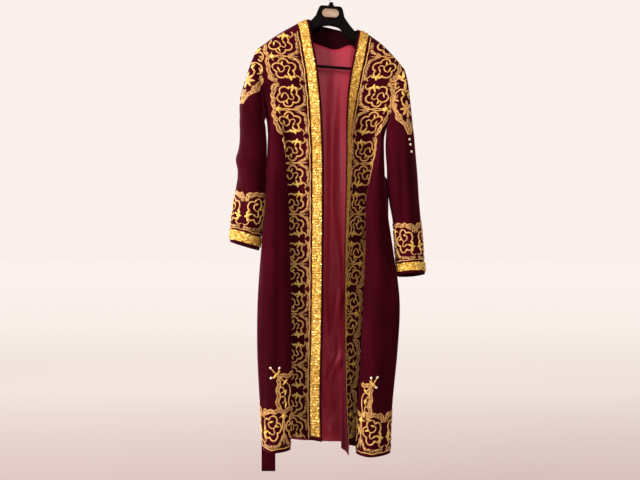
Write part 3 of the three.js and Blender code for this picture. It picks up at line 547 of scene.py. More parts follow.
def laidSurface(grid, facing, wrap=False):
    # a surface in s, across or round from the first column, and the way down the piece (as -z)
    ring = np.concatenate((grid, grid[:, :1]), axis=1) if wrap else grid
    way = wayDown(grid)
    downs = np.arange(0, way[-1], surfaceStep)
    rows = np.stack([[np.interp(downs, way, ring[:, j, axis]) for axis in range(3)]
                     for j in range(ring.shape[1])]).transpose(2, 0, 1)
    points, around, reach = evenRows(rows)
    return {"points": points, "normals": gridNormals(points, facing), "facing": facing, "wrap": wrap,
            "inside": around <= reach[:, -1:] + surfaceStep, "zTop": 0,
            "length": way[-1], "round": float(reach.mean(axis=0)[-1])}


def blend(values, i, j, after, down, across):
    # between four neighbouring points: rows i and i + 1, columns j and after
    top = values[i, j] * (1 - across) + values[i, after] * across
    low = values[i + 1, j] * (1 - across) + values[i + 1, after] * across
    return top * (1 - down) + low * down


def onSurface(surface, s, z, lift):
    # points in the drawing, and which of them lie on the cloth
    rows, columns = surface["inside"].shape
    u = np.asarray(s, float) / surfaceStep
    v = (surface["zTop"] - np.asarray(z, float)) / surfaceStep
    inBounds = (u >= 0) & (v >= 0) & (u <= columns - 1) & (v <= rows - 1)
    u = np.clip(u, 0, columns - 1.001)
    v = np.clip(v, 0, rows - 1.001)
    j, i = u.astype(int), v.astype(int)
    corner = (i, j, j + 1, (v - i)[..., None], (u - j)[..., None])
    normal = unit(blend(surface["normals"], *corner))
    points = blend(surface["points"], *corner) + normal * np.asarray(lift, float)[..., None]
    return points, inBounds & surface["inside"][i, j]


# Materials

def newMaterial(name):
    material = bpy.data.materials.new(name)
    material.use_nodes = True
    tree = material.node_tree
    return material, tree, tree.nodes["Principled BSDF"]


def addNode(tree, kind, inputs=None, **settings):
    node = tree.nodes.new(kind)
    for key, value in settings.items():
        setattr(node, key, value)
    for key, value in (inputs or {}).items():
        if isinstance(value, bpy.types.NodeSocket):
            tree.links.new(value, node.inputs[key])
        else:
            node.inputs[key].default_value = value
    return node


def colourRamp(tree, mask, stops):
    ramp = addNode(tree, "ShaderNodeValToRGB", {"Fac": mask})
    elements = ramp.color_ramp.elements
    while len(elements) < len(stops):
        elements.new(0.5)
    for element, (place, colour) in zip(elements, stops):
        element.position = place
        element.color = (*colour, 1)
    return ramp.outputs["Color"]


def openGroup(name, inputs):
    # a group that puts out a mask and a height
    group = bpy.data.node_groups.new(name, "ShaderNodeTree")
    for key, value in inputs.items():
        kind = "NodeSocketVector" if isinstance(value, tuple) else "NodeSocketFloat"
        group.interface.new_socket(key, in_out="INPUT", socket_type=kind).default_value = value
    for key in ("Mask", "Height"):
        group.interface.new_socket(key, in_out="OUTPUT", socket_type="NodeSocketFloat")
    return group, group.nodes.new("NodeGroupInput").outputs


def closeGroup(group, share, height, pattern):
    # the mask is a mix of the height and a second pattern
    mask = addNode(group, "ShaderNodeMix", {"Factor": share, "A": height, "B": pattern})
    out = group.nodes.new("NodeGroupOutput")
    group.links.new(mask.outputs["Result"], out.inputs["Mask"])
    group.links.new(height, out.inputs["Height"])
    return group


def buildClothGrain():
    # soft patches of nap and a fine grain
    group, given = openGroup("clothGrain", {
        "Patch Scale": 14.0, "Grain Scale": 900.0, "Patch Share": 0.7, "Stretch": (1.0, 1.0, 1.0)})
    place = addNode(group, "ShaderNodeTexCoord").outputs["Object"]
    drawn = addNode(group, "ShaderNodeVectorMath", {0: place, 1: given["Stretch"]}, operation="MULTIPLY")
    patches = addNode(group, "ShaderNodeTexNoise", {
        "Vector": drawn.outputs[0], "Scale": given["Patch Scale"], "Detail": 4.0, "Roughness": 0.55})
    grain = addNode(group, "ShaderNodeTexNoise", {
        "Vector": place, "Scale": given["Grain Scale"], "Detail": 2.0})
    return closeGroup(group, given["Patch Share"], grain.outputs["Fac"], patches.outputs["Fac"])


def buildTwist():
    # fine slanting ridges of twisted metal thread, along the piece's own UV map. Through the mask they
    # also paint light into the colour: painted shade in the grooves, painted highlight on the crests, and
    # painted glints (bright and dark flecks) from the noise
    group, given = openGroup("threadTwist", {"Ridges": 300.0, "Painted Glint Share": 0.5})
    place = addNode(group, "ShaderNodeTexCoord")
    turned = addNode(group, "ShaderNodeMapping", {"Vector": place.outputs["UV"], "Rotation": (0, 0, 0.6)})
    wave = addNode(group, "ShaderNodeTexWave", {
        "Vector": turned.outputs[0], "Scale": given["Ridges"], "Distortion": 1.5, "Detail": 1.0})
    # painted glints: a noise of small flecks that lightens and darkens the gold's colour
    paintedGlints = addNode(group, "ShaderNodeTexNoise", {"Vector": place.outputs["Object"], "Scale": 230.0})
    return closeGroup(group, given["Painted Glint Share"], wave.outputs["Fac"], paintedGlints.outputs["Fac"])


def patternMaterial(name, group, given, stops, bump, distance, sockets):
    # colour and fine relief both come from a group
    material, tree, shader = newMaterial(name)
    pattern = addNode(tree, "ShaderNodeGroup", node_tree=group)
    for key, value in given.items():
        pattern.inputs[key].default_value = value
    tree.links.new(colourRamp(tree, pattern.outputs["Mask"], stops), shader.inputs["Base Color"])
    relief = addNode(tree, "ShaderNodeBump", {"Height": pattern.outputs["Height"], "Strength": bump,
                                              "Distance": distance})
    tree.links.new(relief.outputs["Normal"], shader.inputs["Normal"])
    for key, value in sockets.items():
        shader.inputs[key].default_value = value
    return material


# Each finish: the scales of its pattern, its relief, its colour stops and the shader's values

grainFinishes = {
    "velvet": {
        "name": "burgundyVelvet", "patch": 16, "grain": 700, "stretch": (1, 1, 0.4),
        "bump": (0.5, 0.0008),
        "stops": ((0.3, (0.025, 0.0006, 0.0028)), (0.52, (0.038, 0.0009, 0.0044)),
                  (0.72, (0.058, 0.0016, 0.0076))),
        "shader": {"Roughness": 0.85, "Sheen Weight": 0.5, "Sheen Roughness": 0.26,
                   "Sheen Tint": (0.9, 0.10, 0.22, 1), "Specular IOR Level": 0.03}},
    # painted shade: the neck facing is the same burgundy velvet, made darker and less shiny because it
    # lies in shade inside the neck
    "facing": {
        "name": "darkVelvetFacing", "patch": 20, "grain": 700, "stretch": (1, 1, 0.4),
        "bump": (0.5, 0.0006),
        "stops": ((0.3, (0.009, 0.0004, 0.0016)), (0.7, (0.019, 0.0007, 0.0032))),
        "shader": {"Roughness": 0.85, "Sheen Weight": 0.19, "Sheen Roughness": 0.4,
                   "Sheen Tint": (0.8, 0.08, 0.18, 1), "Specular IOR Level": 0.03}},
    "satin": {
        "name": "crimsonSatin", "patch": 9, "grain": 1400, "stretch": (1, 1, 0.3), "bump": (0.15, 0.0003),
        "stops": ((0.3, (0.26, 0.012, 0.026)), (0.7, (0.42, 0.026, 0.048))),
        "shader": {"Roughness": 0.45, "Sheen Weight": 0.12, "Sheen Roughness": 0.3,
                   "Sheen Tint": (0.95, 0.3, 0.4, 1), "Specular IOR Level": 0.18}},
    "plastic": {
        "name": "blackPlastic", "patch": 30, "grain": 1200, "stretch": (1, 1, 1), "bump": (0.06, 0.0004),
        "stops": ((0.3, (0.0025, 0.0015, 0.0013)), (0.7, (0.0045, 0.003, 0.0027))),
        "shader": {"Roughness": 0.45, "Specular IOR Level": 0.02}},
    "plate": {
        "name": "tanPlate", "patch": 60, "grain": 1500, "stretch": (1, 1, 4), "bump": (0.1, 0.0003),
        "stops": ((0.3, (0.24, 0.14, 0.08)), (0.7, (0.36, 0.235, 0.145))),
        "shader": {"Roughness": 0.35, "Metallic": 0.3}},
    "steel": {
        "name": "hookSteel", "patch": 80, "grain": 2000, "stretch": (1, 1, 1), "bump": (0.05, 0.0002),
        "stops": ((0.3, (0.5, 0.5, 0.52)), (0.7, (0.68, 0.69, 0.71))),
        "shader": {"Roughness": 0.22, "Metallic": 1.0}},
}
goldFinishes = {
    # ridges, share of painted glints, relief, roughness, metal, colour stops (the stops paint shade and
    # highlights into the thread)
    "goldCord": (420.0, 0.5, 0.6, 0.45, 0.2,
                 ((0.3, (0.50, 0.18, 0.02)), (0.5, (0.88, 0.40, 0.085)), (0.66, (1.0, 0.64, 0.24)))),
    "goldLeaf": (160.0, 0.8, 1.0, 0.55, 0.15,
                 ((0.43, (0.07, 0.012, 0.005)), (0.5, (0.42, 0.16, 0.035)), (0.57, (0.80, 0.44, 0.15)))),
    "goldFleur": (300.0, 0.5, 0.5, 0.4, 0.2,
                  ((0.3, (0.62, 0.29, 0.02)), (0.5, (0.92, 0.54, 0.07)), (0.7, (1.0, 0.74, 0.22)))),
    "goldBraid": (500.0, 0.5, 0.8, 0.4, 0.75, ((0.25, (0.34, 0.17, 0.02)), (0.75, (0.66, 0.40, 0.07)))),
    "goldSequin": (200.0, 0.5, 0.2, 0.42, 0.4,
                   ((0.3, (0.60, 0.26, 0.016)), (0.5, (0.88, 0.47, 0.055)), (0.7, (1.0, 0.70, 0.20)))),
    "goldBead": (100.0, 0.5, 0.1, 0.22, 0.5, ((0.25, (0.95, 0.74, 0.44)), (0.75, (1.0, 0.92, 0.76)))),
}
threadRelief = 0.0006


def buildMaterials():
    grain, twist, made = buildClothGrain(), buildTwist(), {}
    for key, look in grainFinishes.items():
        given = {"Patch Scale": look["patch"], "Grain Scale": look["grain"], "Stretch": look["stretch"]}
        made[key] = patternMaterial(look["name"], grain, given, look["stops"], *look["bump"],
                                    look["shader"])
    # the gold colours carry painted shade, painted highlights and painted glints from the thread's twist
    for key, (ridges, paintedGlints, bump, roughness, metallic, stops) in goldFinishes.items():
        given = {"Ridges": ridges, "Painted Glint Share": paintedGlints}
        made[key] = patternMaterial(key, twist, given, stops, bump, threadRelief,
                                    {"Metallic": metallic, "Roughness": roughness})
    return made


# Sewn work: cords, leaves and beads gathered into one mesh

class SewnWork:
    def __init__(self, place):
        self.place = place  # gives points and a mask for s, z and lift
        self.points, self.faces, self.uvs, self.count = [], [], [], 0
        self.finish, self.finishes = 0, []      # which of its materials the next faces take

    def add(self, points, faces, uvs):
        self.points.append(points)
        self.uvs.append(uvs)
        self.faces.extend(tuple(index + self.count for index in face) for face in faces)
        self.finishes.extend([self.finish] * len(faces))
        self.count += len(points)

    def build(self, name, *finishes):
        piece = meshObject(name, np.vstack(self.points), self.faces, np.vstack(self.uvs))
        for finish in finishes:
            piece.data.materials.append(materials[finish])
        piece.data.polygons.foreach_set("material_index", self.finishes)
        dress(piece)


def buildPair(cords, leaves, kind, place):
    cords.build(f"{kind}_cords_{place}", "goldCord", "goldFleur")
    leaves.build(f"{kind}_leaves_{place}", "goldLeaf")


# the domed section of a cord in shares of its width and height, and its points along the way
cordShape = {"section": ((-0.5, 0.0), (-0.36, 0.62), (0.0, 0.95), (0.36, 0.62), (0.5, 0.0)),
             "spacing": 3.6, "clear": 0.15, "taper": (1.2, 2.4), "uvStep": 0.0012}


def smoothRoute(knots, closed=False):
    knots = np.asarray(knots, float)
    if closed:
        knots = np.vstack((knots, knots[:1]))
    gaps = np.linalg.norm(np.diff(knots, axis=0), axis=1)
    return smoothLine(knots, np.maximum(1, np.round(gaps / cordShape["spacing"])).astype(int))


def acrossRoute(route):
    along = unit(np.gradient(route, axis=0))
    return np.stack((-along[:, 1], along[:, 0]), axis=1)


def addCord(work, knots, width, height, closed=False):
    # laid only where its whole width lies on the cloth
    route = smoothRoute(knots, closed=closed)
    on = np.ones(len(route), bool)
    for offset in (-width / 2, 0, width / 2):
        spot = route + acrossRoute(route) * offset
        on &= work.place(spot[:, 0], spot[:, 1], np.zeros(len(spot)))[1]
    runs = np.split(np.arange(len(route)), np.flatnonzero(np.diff(on.astype(int))) + 1)
    for run in runs:
        if on[run[0]] and len(run) > 3:
            addCordRun(work, route[run], width, height)


def addCordRun(work, route, width, height):
    across = acrossRoute(route)
    count, edges = len(route), len(cordShape["section"])
    start, full = cordShape["taper"]
    taper = np.minimum(1, (np.minimum(np.arange(count), np.arange(count)[::-1]) + start) / full)
    rings = []
    for offset, rise in cordShape["section"]:
        spot = route + across * (offset * width * taper)[:, None]
        lift = cordShape["clear"] + rise * height * taper
        rings.append(work.place(spot[:, 0], spot[:, 1], lift)[0])
    points = np.stack(rings, axis=1).reshape(-1, 3)
    way = reachAlong(route) * 0.001
    uvs = np.array([(k * cordShape["uvStep"], way[i]) for i in range(count) for k in range(edges)])
    faces = []
    for i in range(count - 1):
        a, b = i * edges, (i + 1) * edges
        faces += [(a + k, b + k, b + (k + 1) % edges, a + (k + 1) % edges) for k in range(edges)]
    faces += [tuple(range(edges)), tuple(range((count - 1) * edges, count * edges))[::-1]]
    work.add(points, faces, uvs)


def addBand(cords, leaves, knots):
    # a filled band of thread between two thin cords
    route = smoothRoute(knots)
    width, height = scroll["band"]
    addCord(leaves, route[::2], width, height)
    for offset in (-width / 2, width / 2):
        addCord(cords, (route + acrossRoute(route) * offset)[::2], *scroll["edgeCord"])


def addLeaf(work, centre, angle, length, width, height, lobes=0, point=0.5, count=0):
    # a domed filled patch: round at its foot and narrower (point) at its tip
    count = count or (16 if lobes else 12)
    turn = 2 * np.pi * np.arange(count) / count
    ripple = 1 + (0.14 * np.cos(lobes * turn) if lobes else 0)
    narrow = 1 - point * (0.5 + 0.5 * np.cos(turn))
    outline = np.stack((length / 2 * np.cos(turn) * ripple,
                        width / 2 * np.sin(turn) * narrow * ripple), axis=1)
    c, s = math.cos(math.radians(angle)), math.sin(math.radians(angle))
    outline = outline @ np.array(((c, s), (-s, c)))
    rings = ((1.0, 0.1), (0.86, 0.72), (0.45, 1.0))
    spots = np.vstack([outline * size for size, _ in rings] + [np.zeros((2, 2))]) + centre
    lifts = np.concatenate([np.full(count, rise * height) for _, rise in rings]
                           + [(height * 1.02, 0.1 * height)])
    points, on = work.place(spots[:, 0], spots[:, 1], lifts)
    if not on.all():
        return
    faces = gridFaces(3, count, 1, wrap=True)
    top, foot = 3 * count, 3 * count + 1
    for k in range(count):
        n = (k + 1) % count
        faces += [(2 * count + k, 2 * count + n, top), (n, k, foot)]
    work.add(points, faces, spots * 0.001)


def addLeaves(work, leaves, spot, turn, height, size=1.0, finish=0):
    # each leaf: x, y, angle, length, width, lobes, pointedness
    work.finish = finish
    for x, y, angle, length, width, lobes, point in leaves:
        addLeaf(work, spot((x, y)), turn * angle, length * size, width * size, height, lobes, point)
    work.finish = 0


def addBead(work, spot):
    addLeaf(work, spot, 0, hem["bead"], hem["bead"], hem["beadHeight"], 0, 0.0, 10)


# The cloth panels

def hangPanel(panels, node, name, grid, facing, wrap=False, **more):
    normals = gridNormals(grid, facing, wrap)
    grid = grid + normals * creaseDepth(grid, normals, node)
    piece = clothShell(name, grid, facing, cloth["wall"], "velvet", node, wrap)
    panels[node] = grid, facing


def buildPanels():
    panels, loops = {}, {}
    foot = len(backSections) * cloth["upperRows"]       # the row at the foot of the armholes
    for side in sides:
        grid = frontGrid(side)
        loops[side] = list(grid[:foot + 1, -1])
        hangPanel(panels, f"front_{side}", f"front_panel_{side}", grid, -sideSign[side],
                  rests_on=["hanger_body"])
    back = backGrid()
    for side, column in (("right", 0), ("left", -1)):
        loops[side] += list(back[1:foot, column][::-1])
    hangPanel(panels, "back", "back_panel", back, 1, rests_on=["hanger_body"])
    for side in sides:
        grid = sleeveGrid(side, np.array(loops[side]))
        hangPanel(panels, f"sleeve_{side}", f"sleeve_cloth_{side}", grid, sideSign[side], wrap=True)
    return panels


# Lining and facing lie before the inner face of the back

inside = {
    "gap": 0.9, "wall": 1.0, "slack": 6, "least": 1.2,
    "facing": (slice(0, 17), slice(34, -34)), "lining": (slice(16, None), slice(12, -12)),
}


def buildInside(back):
    normals = gridNormals(back, 1)
    inner = back - normals * (cloth["wall"] + inside["gap"])
    lining, out = inner[inside["lining"]], normals[inside["lining"]]
    loose = np.maximum(creaseDepth(lining, out, "lining") + inside["slack"], inside["least"])
    lining = lining - out * loose
    # the neck facing takes the velvet's darker copy, which is painted shade
    for name, grid, material, slot, node in (
            ("neck_facing_cloth", inner[inside["facing"]], "facing", "velvet_facing", "neck_facing"),
            ("lining_cloth", lining, "satin", "satin_lining", "lining_back")):
        piece = clothShell(name, grid, -1, inside["wall"], material, node)


# Belt and its loops

belt = {
    "width": 45, "wall": 2.0, "y": 50.1, "waistZ": -602, "turn": 32, "sag": 14, "across": 18, "rows": 44,
    "right": (-204, -1566), "left": (166, -1010), "edge": 0.5, "ripple": 0.25,
}
beltLoop = {
    "width": 10, "high": 68, "clear": 0.8, "inset": 12, "wall": 1.2,
    # height and share of the way out from the back to over the belt
    "bends": ((0.5, 0), (0.46, 0.7), (0.38, 1), (0, 1), (-0.38, 1), (-0.46, 0.7), (-0.5, 0)),
}


def beltStations():
    # middle point and width direction of each cross section, from the right end to the left
    low = belt["waistZ"] - belt["turn"]
    (rightX, rightEnd), (leftX, leftEnd) = belt["right"], belt["left"]
    turn, stations = belt["turn"], []
    for z in np.linspace(rightEnd, low, belt["rows"])[:-1]:
        stations.append(((rightX, z), (0, 1)))
    for angle in np.radians(np.linspace(0, 90, 16)):
        stations.append(((rightX + turn * (1 - math.cos(angle)), low + turn * math.sin(angle)),
                         (math.sin(angle), math.cos(angle))))
    for share in np.linspace(0, 1, 40)[1:-1]:
        x = rightX + turn + share * (leftX - rightX - 2 * turn)
        stations.append(((x, belt["waistZ"] - belt["sag"] * math.sin(math.pi * share)), (1, 0)))
    for angle in np.radians(np.linspace(0, 90, 16)):
        stations.append(((leftX - turn * (1 - math.sin(angle)), low + turn * math.cos(angle)),
                         (math.cos(angle), -math.sin(angle))))
    for z in np.linspace(low, leftEnd, belt["rows"] // 2)[1:]:
        stations.append(((leftX, z), (0, -1)))
    return stations


def buildBelt():
    shares = np.linspace(-0.5, 0.5, belt["across"])
    rows = []
    for (x, z), heading in beltStations():
        wide = np.array((heading[1], 0, -heading[0]))
        row = np.array((x, belt["y"] + belt["wall"], z)) + shares[:, None] * belt["width"] * wide
        row[:, 1] -= belt["edge"] * (2 * np.abs(shares)) ** 8          # rounded edges
        row[:, 1] += belt["ripple"] * np.sin(z / 46) * np.cos(shares * 4)
        rows.append(row)
    grid = np.array(rows)
    piece = clothShell("belt_cloth", grid, 1, belt["wall"], "velvet", "belt")


def buildBeltLoops(back):
    tree = gridTree(back, 1)
    width, over = beltLoop["width"], belt["y"] + belt["wall"] + beltLoop["clear"] + beltLoop["wall"]
    for side in sides:
        x = belt[side][0] - sideSign[side] * (belt["turn"] + beltLoop["inset"])
        knots = []
        for height, share in beltLoop["bends"]:
            z = belt["waistZ"] + height * beltLoop["high"]
            hits = [tree.ray_cast(Vector((x + s * width, 500, z)), Vector((0, -1, 0)))[0]
                    for s in (-0.5, 0, 0.5)]
            surface = max(hit.y for hit in hits if hit) + 0.6
            knots.append((x, surface + (over - surface) * share, z))
        line = smoothLine(knots, (4, 4, 6, 6, 4, 4))
        grid = np.stack([line + np.array((s * width, 0, 0)) for s in np.linspace(-0.5, 0.5, 6)], axis=1)
        piece = clothShell(f"belt_loop_cloth_{side}", grid, 1, beltLoop["wall"], "velvet",
                           f"belt_loop_{side}")


# Hanger: the solids' own forms, with softer edges and their finishes

hanger = {
    # finish, slot and width of its softened edges
    "hanger_body": ("plastic", "black_plastic", 1.2), "hanger_bar": ("plastic", "black_plastic", 0),
    "hanger_rim": ("plastic", "black_plastic", 0.5), "hanger_collar": ("plastic", "black_plastic", 0.4),
    "hanger_plate": ("plate", "tan_plate", 0.35), "hanger_hook": ("steel", "steel_hook", 0),
}


def buildHanger():
    for node, (finish, slot, bevel) in hanger.items():
        piece = bpy.data.objects[node].copy()
        piece.data = piece.data.copy()
        piece.name = piece.data.name = f"{node}_form"
        for key in [key for key in piece.keys() if key.startswith("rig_")]:
            del piece[key]
        bpy.context.collection.objects.link(piece)
        piece.hide_render = False
        piece.data.materials.clear()
        piece.data.materials.append(materials[finish])
        applyModifier(piece, "WELD", merge_threshold=0.00002)
        if bevel:
            applyModifier(piece, "BEVEL", width=bevel * 0.001, segments=2, limit_method="ANGLE",
                          angle_limit=math.radians(40))
        bpy.ops.object.shade_smooth_by_angle(angle=math.radians(50))
        dress(piece, node)


# Braid: a ribbon under rows of small overlapping sequins

braid = {"wall": 1.2, "lift": 1.7, "columns": 9, "nape": (slice(0, 13), slice(28, 81))}
sequin = {"radius": 2.6, "thick": 0.35, "pitch": 4.1, "inset": 1.7, "tilt": 28, "lift": 1.1, "sides": 6,
          "loose": (0.4, 0.5)}


def frontStrip(grid, normals):
    # the strip of a front that lies under its braid
    count = cloth["columns"][0]
    margin = cloth["margin"] / (cloth["margin"] + cloth["braid"])
    shares = np.linspace(margin, 1, braid["columns"]) * count
    j = np.minimum(shares.astype(int), count - 1)
    f = (shares - j)[None, :, None]
    return (grid[:, j] * (1 - f) + grid[:, j + 1] * f, normals[:, j] * (1 - f) + normals[:, j + 1] * f)


def braidStrip(name, node, grid, normals, facing, wrap=False):
    # the ribbon, then the sequins on it
    ribbon = grid + normals * braid["lift"]
    piece = clothShell(name, ribbon, facing, braid["wall"], "goldBraid", node, wrap)
    sequins = sequinField(f"{name}_sequins", laidSurface(ribbon, facing, wrap))


def sequinField(name, surface):
    # rows of thin tilted discs that overlap like scales
    width, length = surface["round"], surface["length"]
    inset, (looseS, looseZ) = 0 if surface["wrap"] else sequin["inset"], sequin["loose"]
    columns = max(2, round(width / sequin["pitch"]))
    rows = int(length / sequin["pitch"])
    spots, tilts, turns = [], [], []
    reach = math.tan(math.radians(sequin["tilt"]))
    for i in range(rows):
        for j in range(columns):
            s = inset + (j + 0.25 + 0.5 * (i % 2)) / columns * (width - 2 * inset)
            s += randomDraw.uniform(-looseS, looseS)
            spots.append((s, -(i + 0.5) / rows * length + randomDraw.uniform(-looseZ, looseZ)))
            tilts.append((randomDraw.uniform(-reach, reach), randomDraw.uniform(-reach, reach)))
            turns.append(randomDraw.uniform(0, math.pi))
    spots, tilts, turns = np.array(spots), np.array(tilts), np.array(turns)

    def beside(s, z):
        return onSurface(surface, spots[:, 0] + s, spots[:, 1] + z, sequin["lift"])[0]

    def slope(s, z):
        # a step along the cloth, taken from behind where the cloth ends
        ahead = beside(s, z) - centre
        isLong = np.linalg.norm(ahead, axis=1, keepdims=True) > 0.5
        return np.where(isLong, ahead, centre - beside(-s, -z))

    centre = beside(0, 0)
    across = slope(1, 0)
    out = unit(np.cross(across, slope(0, -1)) * surface["facing"])
    across = unit(across)
    down = np.cross(out, across)
    count = sequin["sides"]
    rings = []
    for level in (sequin["thick"], 0):
        for k in range(count):
            angle = turns + 2 * math.pi * k / count
            x, y = np.cos(angle) * sequin["radius"], np.sin(angle) * sequin["radius"]
            rise = level + x * tilts[:, 0] + y * tilts[:, 1]
            rings.append(centre + across * x[:, None] + down * y[:, None] + out * rise[:, None])
    points = np.stack(rings, axis=1).reshape(-1, 3)
    top, foot = tuple(range(count)), tuple(range(2 * count - 1, count - 1, -1))
    rims = [(k, k + count, (k + 1) % count + count, (k + 1) % count) for k in range(count)]
    faces = [tuple(2 * count * n + v for v in face)
             for n in range(len(spots)) for face in (top, foot, *rims)]
    uvs = np.repeat(spots, 2 * count, axis=0) * 0.001
    piece = meshObject(name, points, faces, uvs, smooth=False)
    piece.data.materials.append(materials["goldSequin"])
    dress(piece)
    return piece


def buildBraids(panels):
    for side in sides:
        grid, facing = panels[f"front_{side}"]
        strip, normals = frontStrip(grid, gridNormals(grid, facing))
        normals[0] = (0, 0, 1)
        braidStrip(f"braid_front_{side}_ribbon", f"braid_front_{side}", strip[:-2],
                   normals[:-2], facing)
    back, facing = panels["back"]
    braidStrip("braid_neck_ribbon", "braid_neck", back[braid["nape"]],
               gridNormals(back, facing)[braid["nape"]], facing)
    for side in sides:
        grid, facing = panels[f"sleeve_{side}"]
        rows = slice(-2 * cloth["sleeveRows"] - 1, -cloth["sleeveRows"])
        braidStrip(f"braid_cuff_{side}_ribbon", f"braid_cuff_{side}", grid[rows],
                   gridNormals(grid, facing, True)[rows], facing, wrap=True)


# Scroll embroidery: its own repeat of two lobed loops in a scalloped frame, drawn in a unit 112
# wide (x, away from the braid) and 166 long (y); its second half mirrors the first

scroll = {
    "tops": (-147, -312, -480, -648, -806, -966, -1128, -1290, -1452), "high": 166, "start": 38,
    "widths": (1.12, 1.08, 1.0, 0.94, 0.9, 0.88, 0.88, 0.88),
    "loopCord": (5.4, 3.0), "stemCord": (4.0, 2.6), "edgeCord": (2.6, 2.4), "braidCord": (3.8, 2.2),
    "band": (10, 1.5), "leafHeight": 2.2,
}
cloud = {"centre": (61, 43), "reach": (34, 32), "lobes": 5, "turn": 0.9, "deep": 0.34, "points": 50}
innerStems = (
    ((82, 61), (70, 58), (61, 49), (64, 37), (74, 33), (79, 41)),
    ((61, 49), (50, 53), (45, 47), (49, 40)), ((33, 24), (24, 19), (19, 11), (23, 3)),
    ((88, 68), (92, 77), (91, 84)),
)
# leaves: x, y, angle, length, width, lobes, pointedness; the fleurs are bright, the stitched ones rough
fleurLeaves = (
    (45, 11, -90, 11, 10, 0, 0.4), (57, 16, 20, 17, 9, 0, 0.5), (35, 17, 165, 14, 8, 0, 0.4),
    (50, 24, 65, 16, 9, 0, 0.5), (45, 16, 0, 12, 12, 0, 0.1), (79, 43, 70, 13, 8, 0, 0.6),
    (50, 37, -60, 12, 7, 0, 0.6), (66, 61, 110, 15, 8, 0, 0.6), (91, 83, 0, 17, 15, 0, 0.2),
)
stitchedLeaves = (
    (97, 20, 80, 20, 12, 4, 0.4), (12, 24, 95, 36, 12, 5, 0.4), (13, 51, 84, 30, 13, 5, 0.4),
    (21, 71, 203, 30, 12, 5, 0.4), (38, 77, 215, 18, 8, 3, 0.4),
)
junctionLeaves = ((30, 83, 180, 34, 9, 4, 0.5),)
junctionCords = (
    ((88, 83), (66, 80), (46, 83), (30, 76), (14, 60)),
    ((88, 83), (66, 86), (46, 83), (30, 90), (14, 106)),
)
frameKnots = ((84, 8), (96, 8), (105, 15), (103, 28), (108, 40), (104, 52), (109, 64), (104, 76),
              (101, 84))
braidKnots = ((5, 0), (6, 20), (4, 42), (6, 62), (5, 84))


def cloudLoop():
    # a closed loop of round lobes that meet in cusps
    turns = 2 * np.pi * np.arange(cloud["points"]) / cloud["points"]
    lobe = 1 - cloud["deep"] * (1 - np.abs(np.sin(cloud["lobes"] / 2 * turns + cloud["turn"])) ** 0.7)
    ring = np.stack((np.cos(turns), np.sin(turns)), axis=1)
    return ring * lobe[:, None] * cloud["reach"] + cloud["centre"]


def jitter(amount=0.8):
    return randomDraw.uniform(-amount, amount), randomDraw.uniform(-amount, amount)


def scrollUnit(cords, leaves, start, top, bottom, wide=1.0):
    scale = (top - bottom) / scroll["high"]
    size = (wide + abs(scale)) / 2
    height = scroll["leafHeight"]

    def spot(point, turn=1, loose=0.8):
        # a place in the unit's first half, or in its mirrored one
        x, y = np.add((point[0], point[1] if turn > 0 else scroll["high"] - point[1]), jitter(loose))
        return (start + x * wide, top - y * scale)

    def cord(knots, kind, turn=1, loose=0.4, closed=False):
        addCord(cords, [spot(knot, turn, loose) for knot in knots], *scroll[kind], closed=closed)

    for turn in (1, -1):
        cord(cloudLoop(), "loopCord", turn, 0.5, closed=True)
        for knots in innerStems:
            cord(knots, "stemCord", turn)
        cord(braidKnots, "braidCord", turn)
        addBand(cords, leaves, [spot(knot, turn) for knot in frameKnots])
        addLeaves(cords, fleurLeaves, partial(spot, turn=turn), -turn, height * 1.4, size, finish=1)
        addLeaves(leaves, stitchedLeaves, partial(spot, turn=turn), -turn, height, size)
    for knots in junctionCords:
        cord(knots, "stemCord", loose=0.8)
    addLeaves(leaves, junctionLeaves, spot, 1, height * 1.1, size)


def roundPlace(grid, facing, foot):
    # the repeat round a sleeve, upwards from a place (foot) on its way down
    normals = gridNormals(grid, facing, True)
    way = wayDown(grid)
    columns = grid.shape[1]
    around = np.linalg.norm(np.roll(grid, -1, axis=1) - grid, axis=2).sum(axis=1)[-1]

    def place(s, z, lift):
        turn = (-np.asarray(z)) / around % 1 * columns
        row = np.interp(foot - np.asarray(s), way, np.arange(len(way)))
        j, i = turn.astype(int) % columns, np.minimum(row.astype(int), len(way) - 2)
        corner = (i, j, (j + 1) % columns, (row - i)[..., None], (turn % 1)[..., None])
        points = blend(grid, *corner) + blend(normals, *corner) * np.asarray(lift, float)[..., None]
        return points, np.ones(len(turn), bool)

    return place, around


# At the hem the repeat runs round the robe, and a stem with three beads stands above it

hem = {
    "bead": 8.5, "beadHeight": 3.6, "start": 5, "long": 164, "wide": 1.16,
    "right": {"starts": (158, 322), "stem": (246, -1222, 1.0)},     # place, height and width
    "left": {"starts": (150, 314), "stem": (251, -1252, 0.7)},
    "back": (-88, 76, 240, 404),
}
beadSpots = ((42, -18), (14, -17), (39, 13))
stemBands = (((18, 16), (12, 34), (17, 52), (11, 70), (16, 88), (8, 106), (5, 120)),
             ((14, 8), (-2, 6), (-16, 10), (-34, -2)))
stemCords = (
    ((42, -18), (22, 4), (0, 22), (-22, 40), (-27, 62), (-22, 84), (-26, 108)),
    ((14, -17), (17, 2), (18, 18)), ((39, 13), (26, 8), (18, 6)),
    ((14, 44), (0, 44), (-4, 56), (4, 60)), ((13, 76), (-4, 72), (-10, 84), (0, 92)),
)
stemFleurs = ((22, 3, 135, 34, 11, 0, 0.6), (-6, 28, -50, 26, 9, 0, 0.6), (-9, 60, -80, 20, 9, 0, 0.6),
              (-12, 98, -80, 22, 9, 0, 0.6))


def beadStem(cords, leaves, beads, s, top, wide):
    def spot(point):
        return (s + point[0] * wide, top - point[1])

    for knots in stemBands:
        addBand(cords, leaves, [spot(knot) for knot in knots])
    for knots in stemCords:
        addCord(cords, [spot(knot) for knot in knots], *scroll["stemCord"])
    addLeaves(cords, stemFleurs, spot, 1, scroll["leafHeight"] * 1.3, finish=1)
    for point in beadSpots:
        addBead(beads, spot(point))


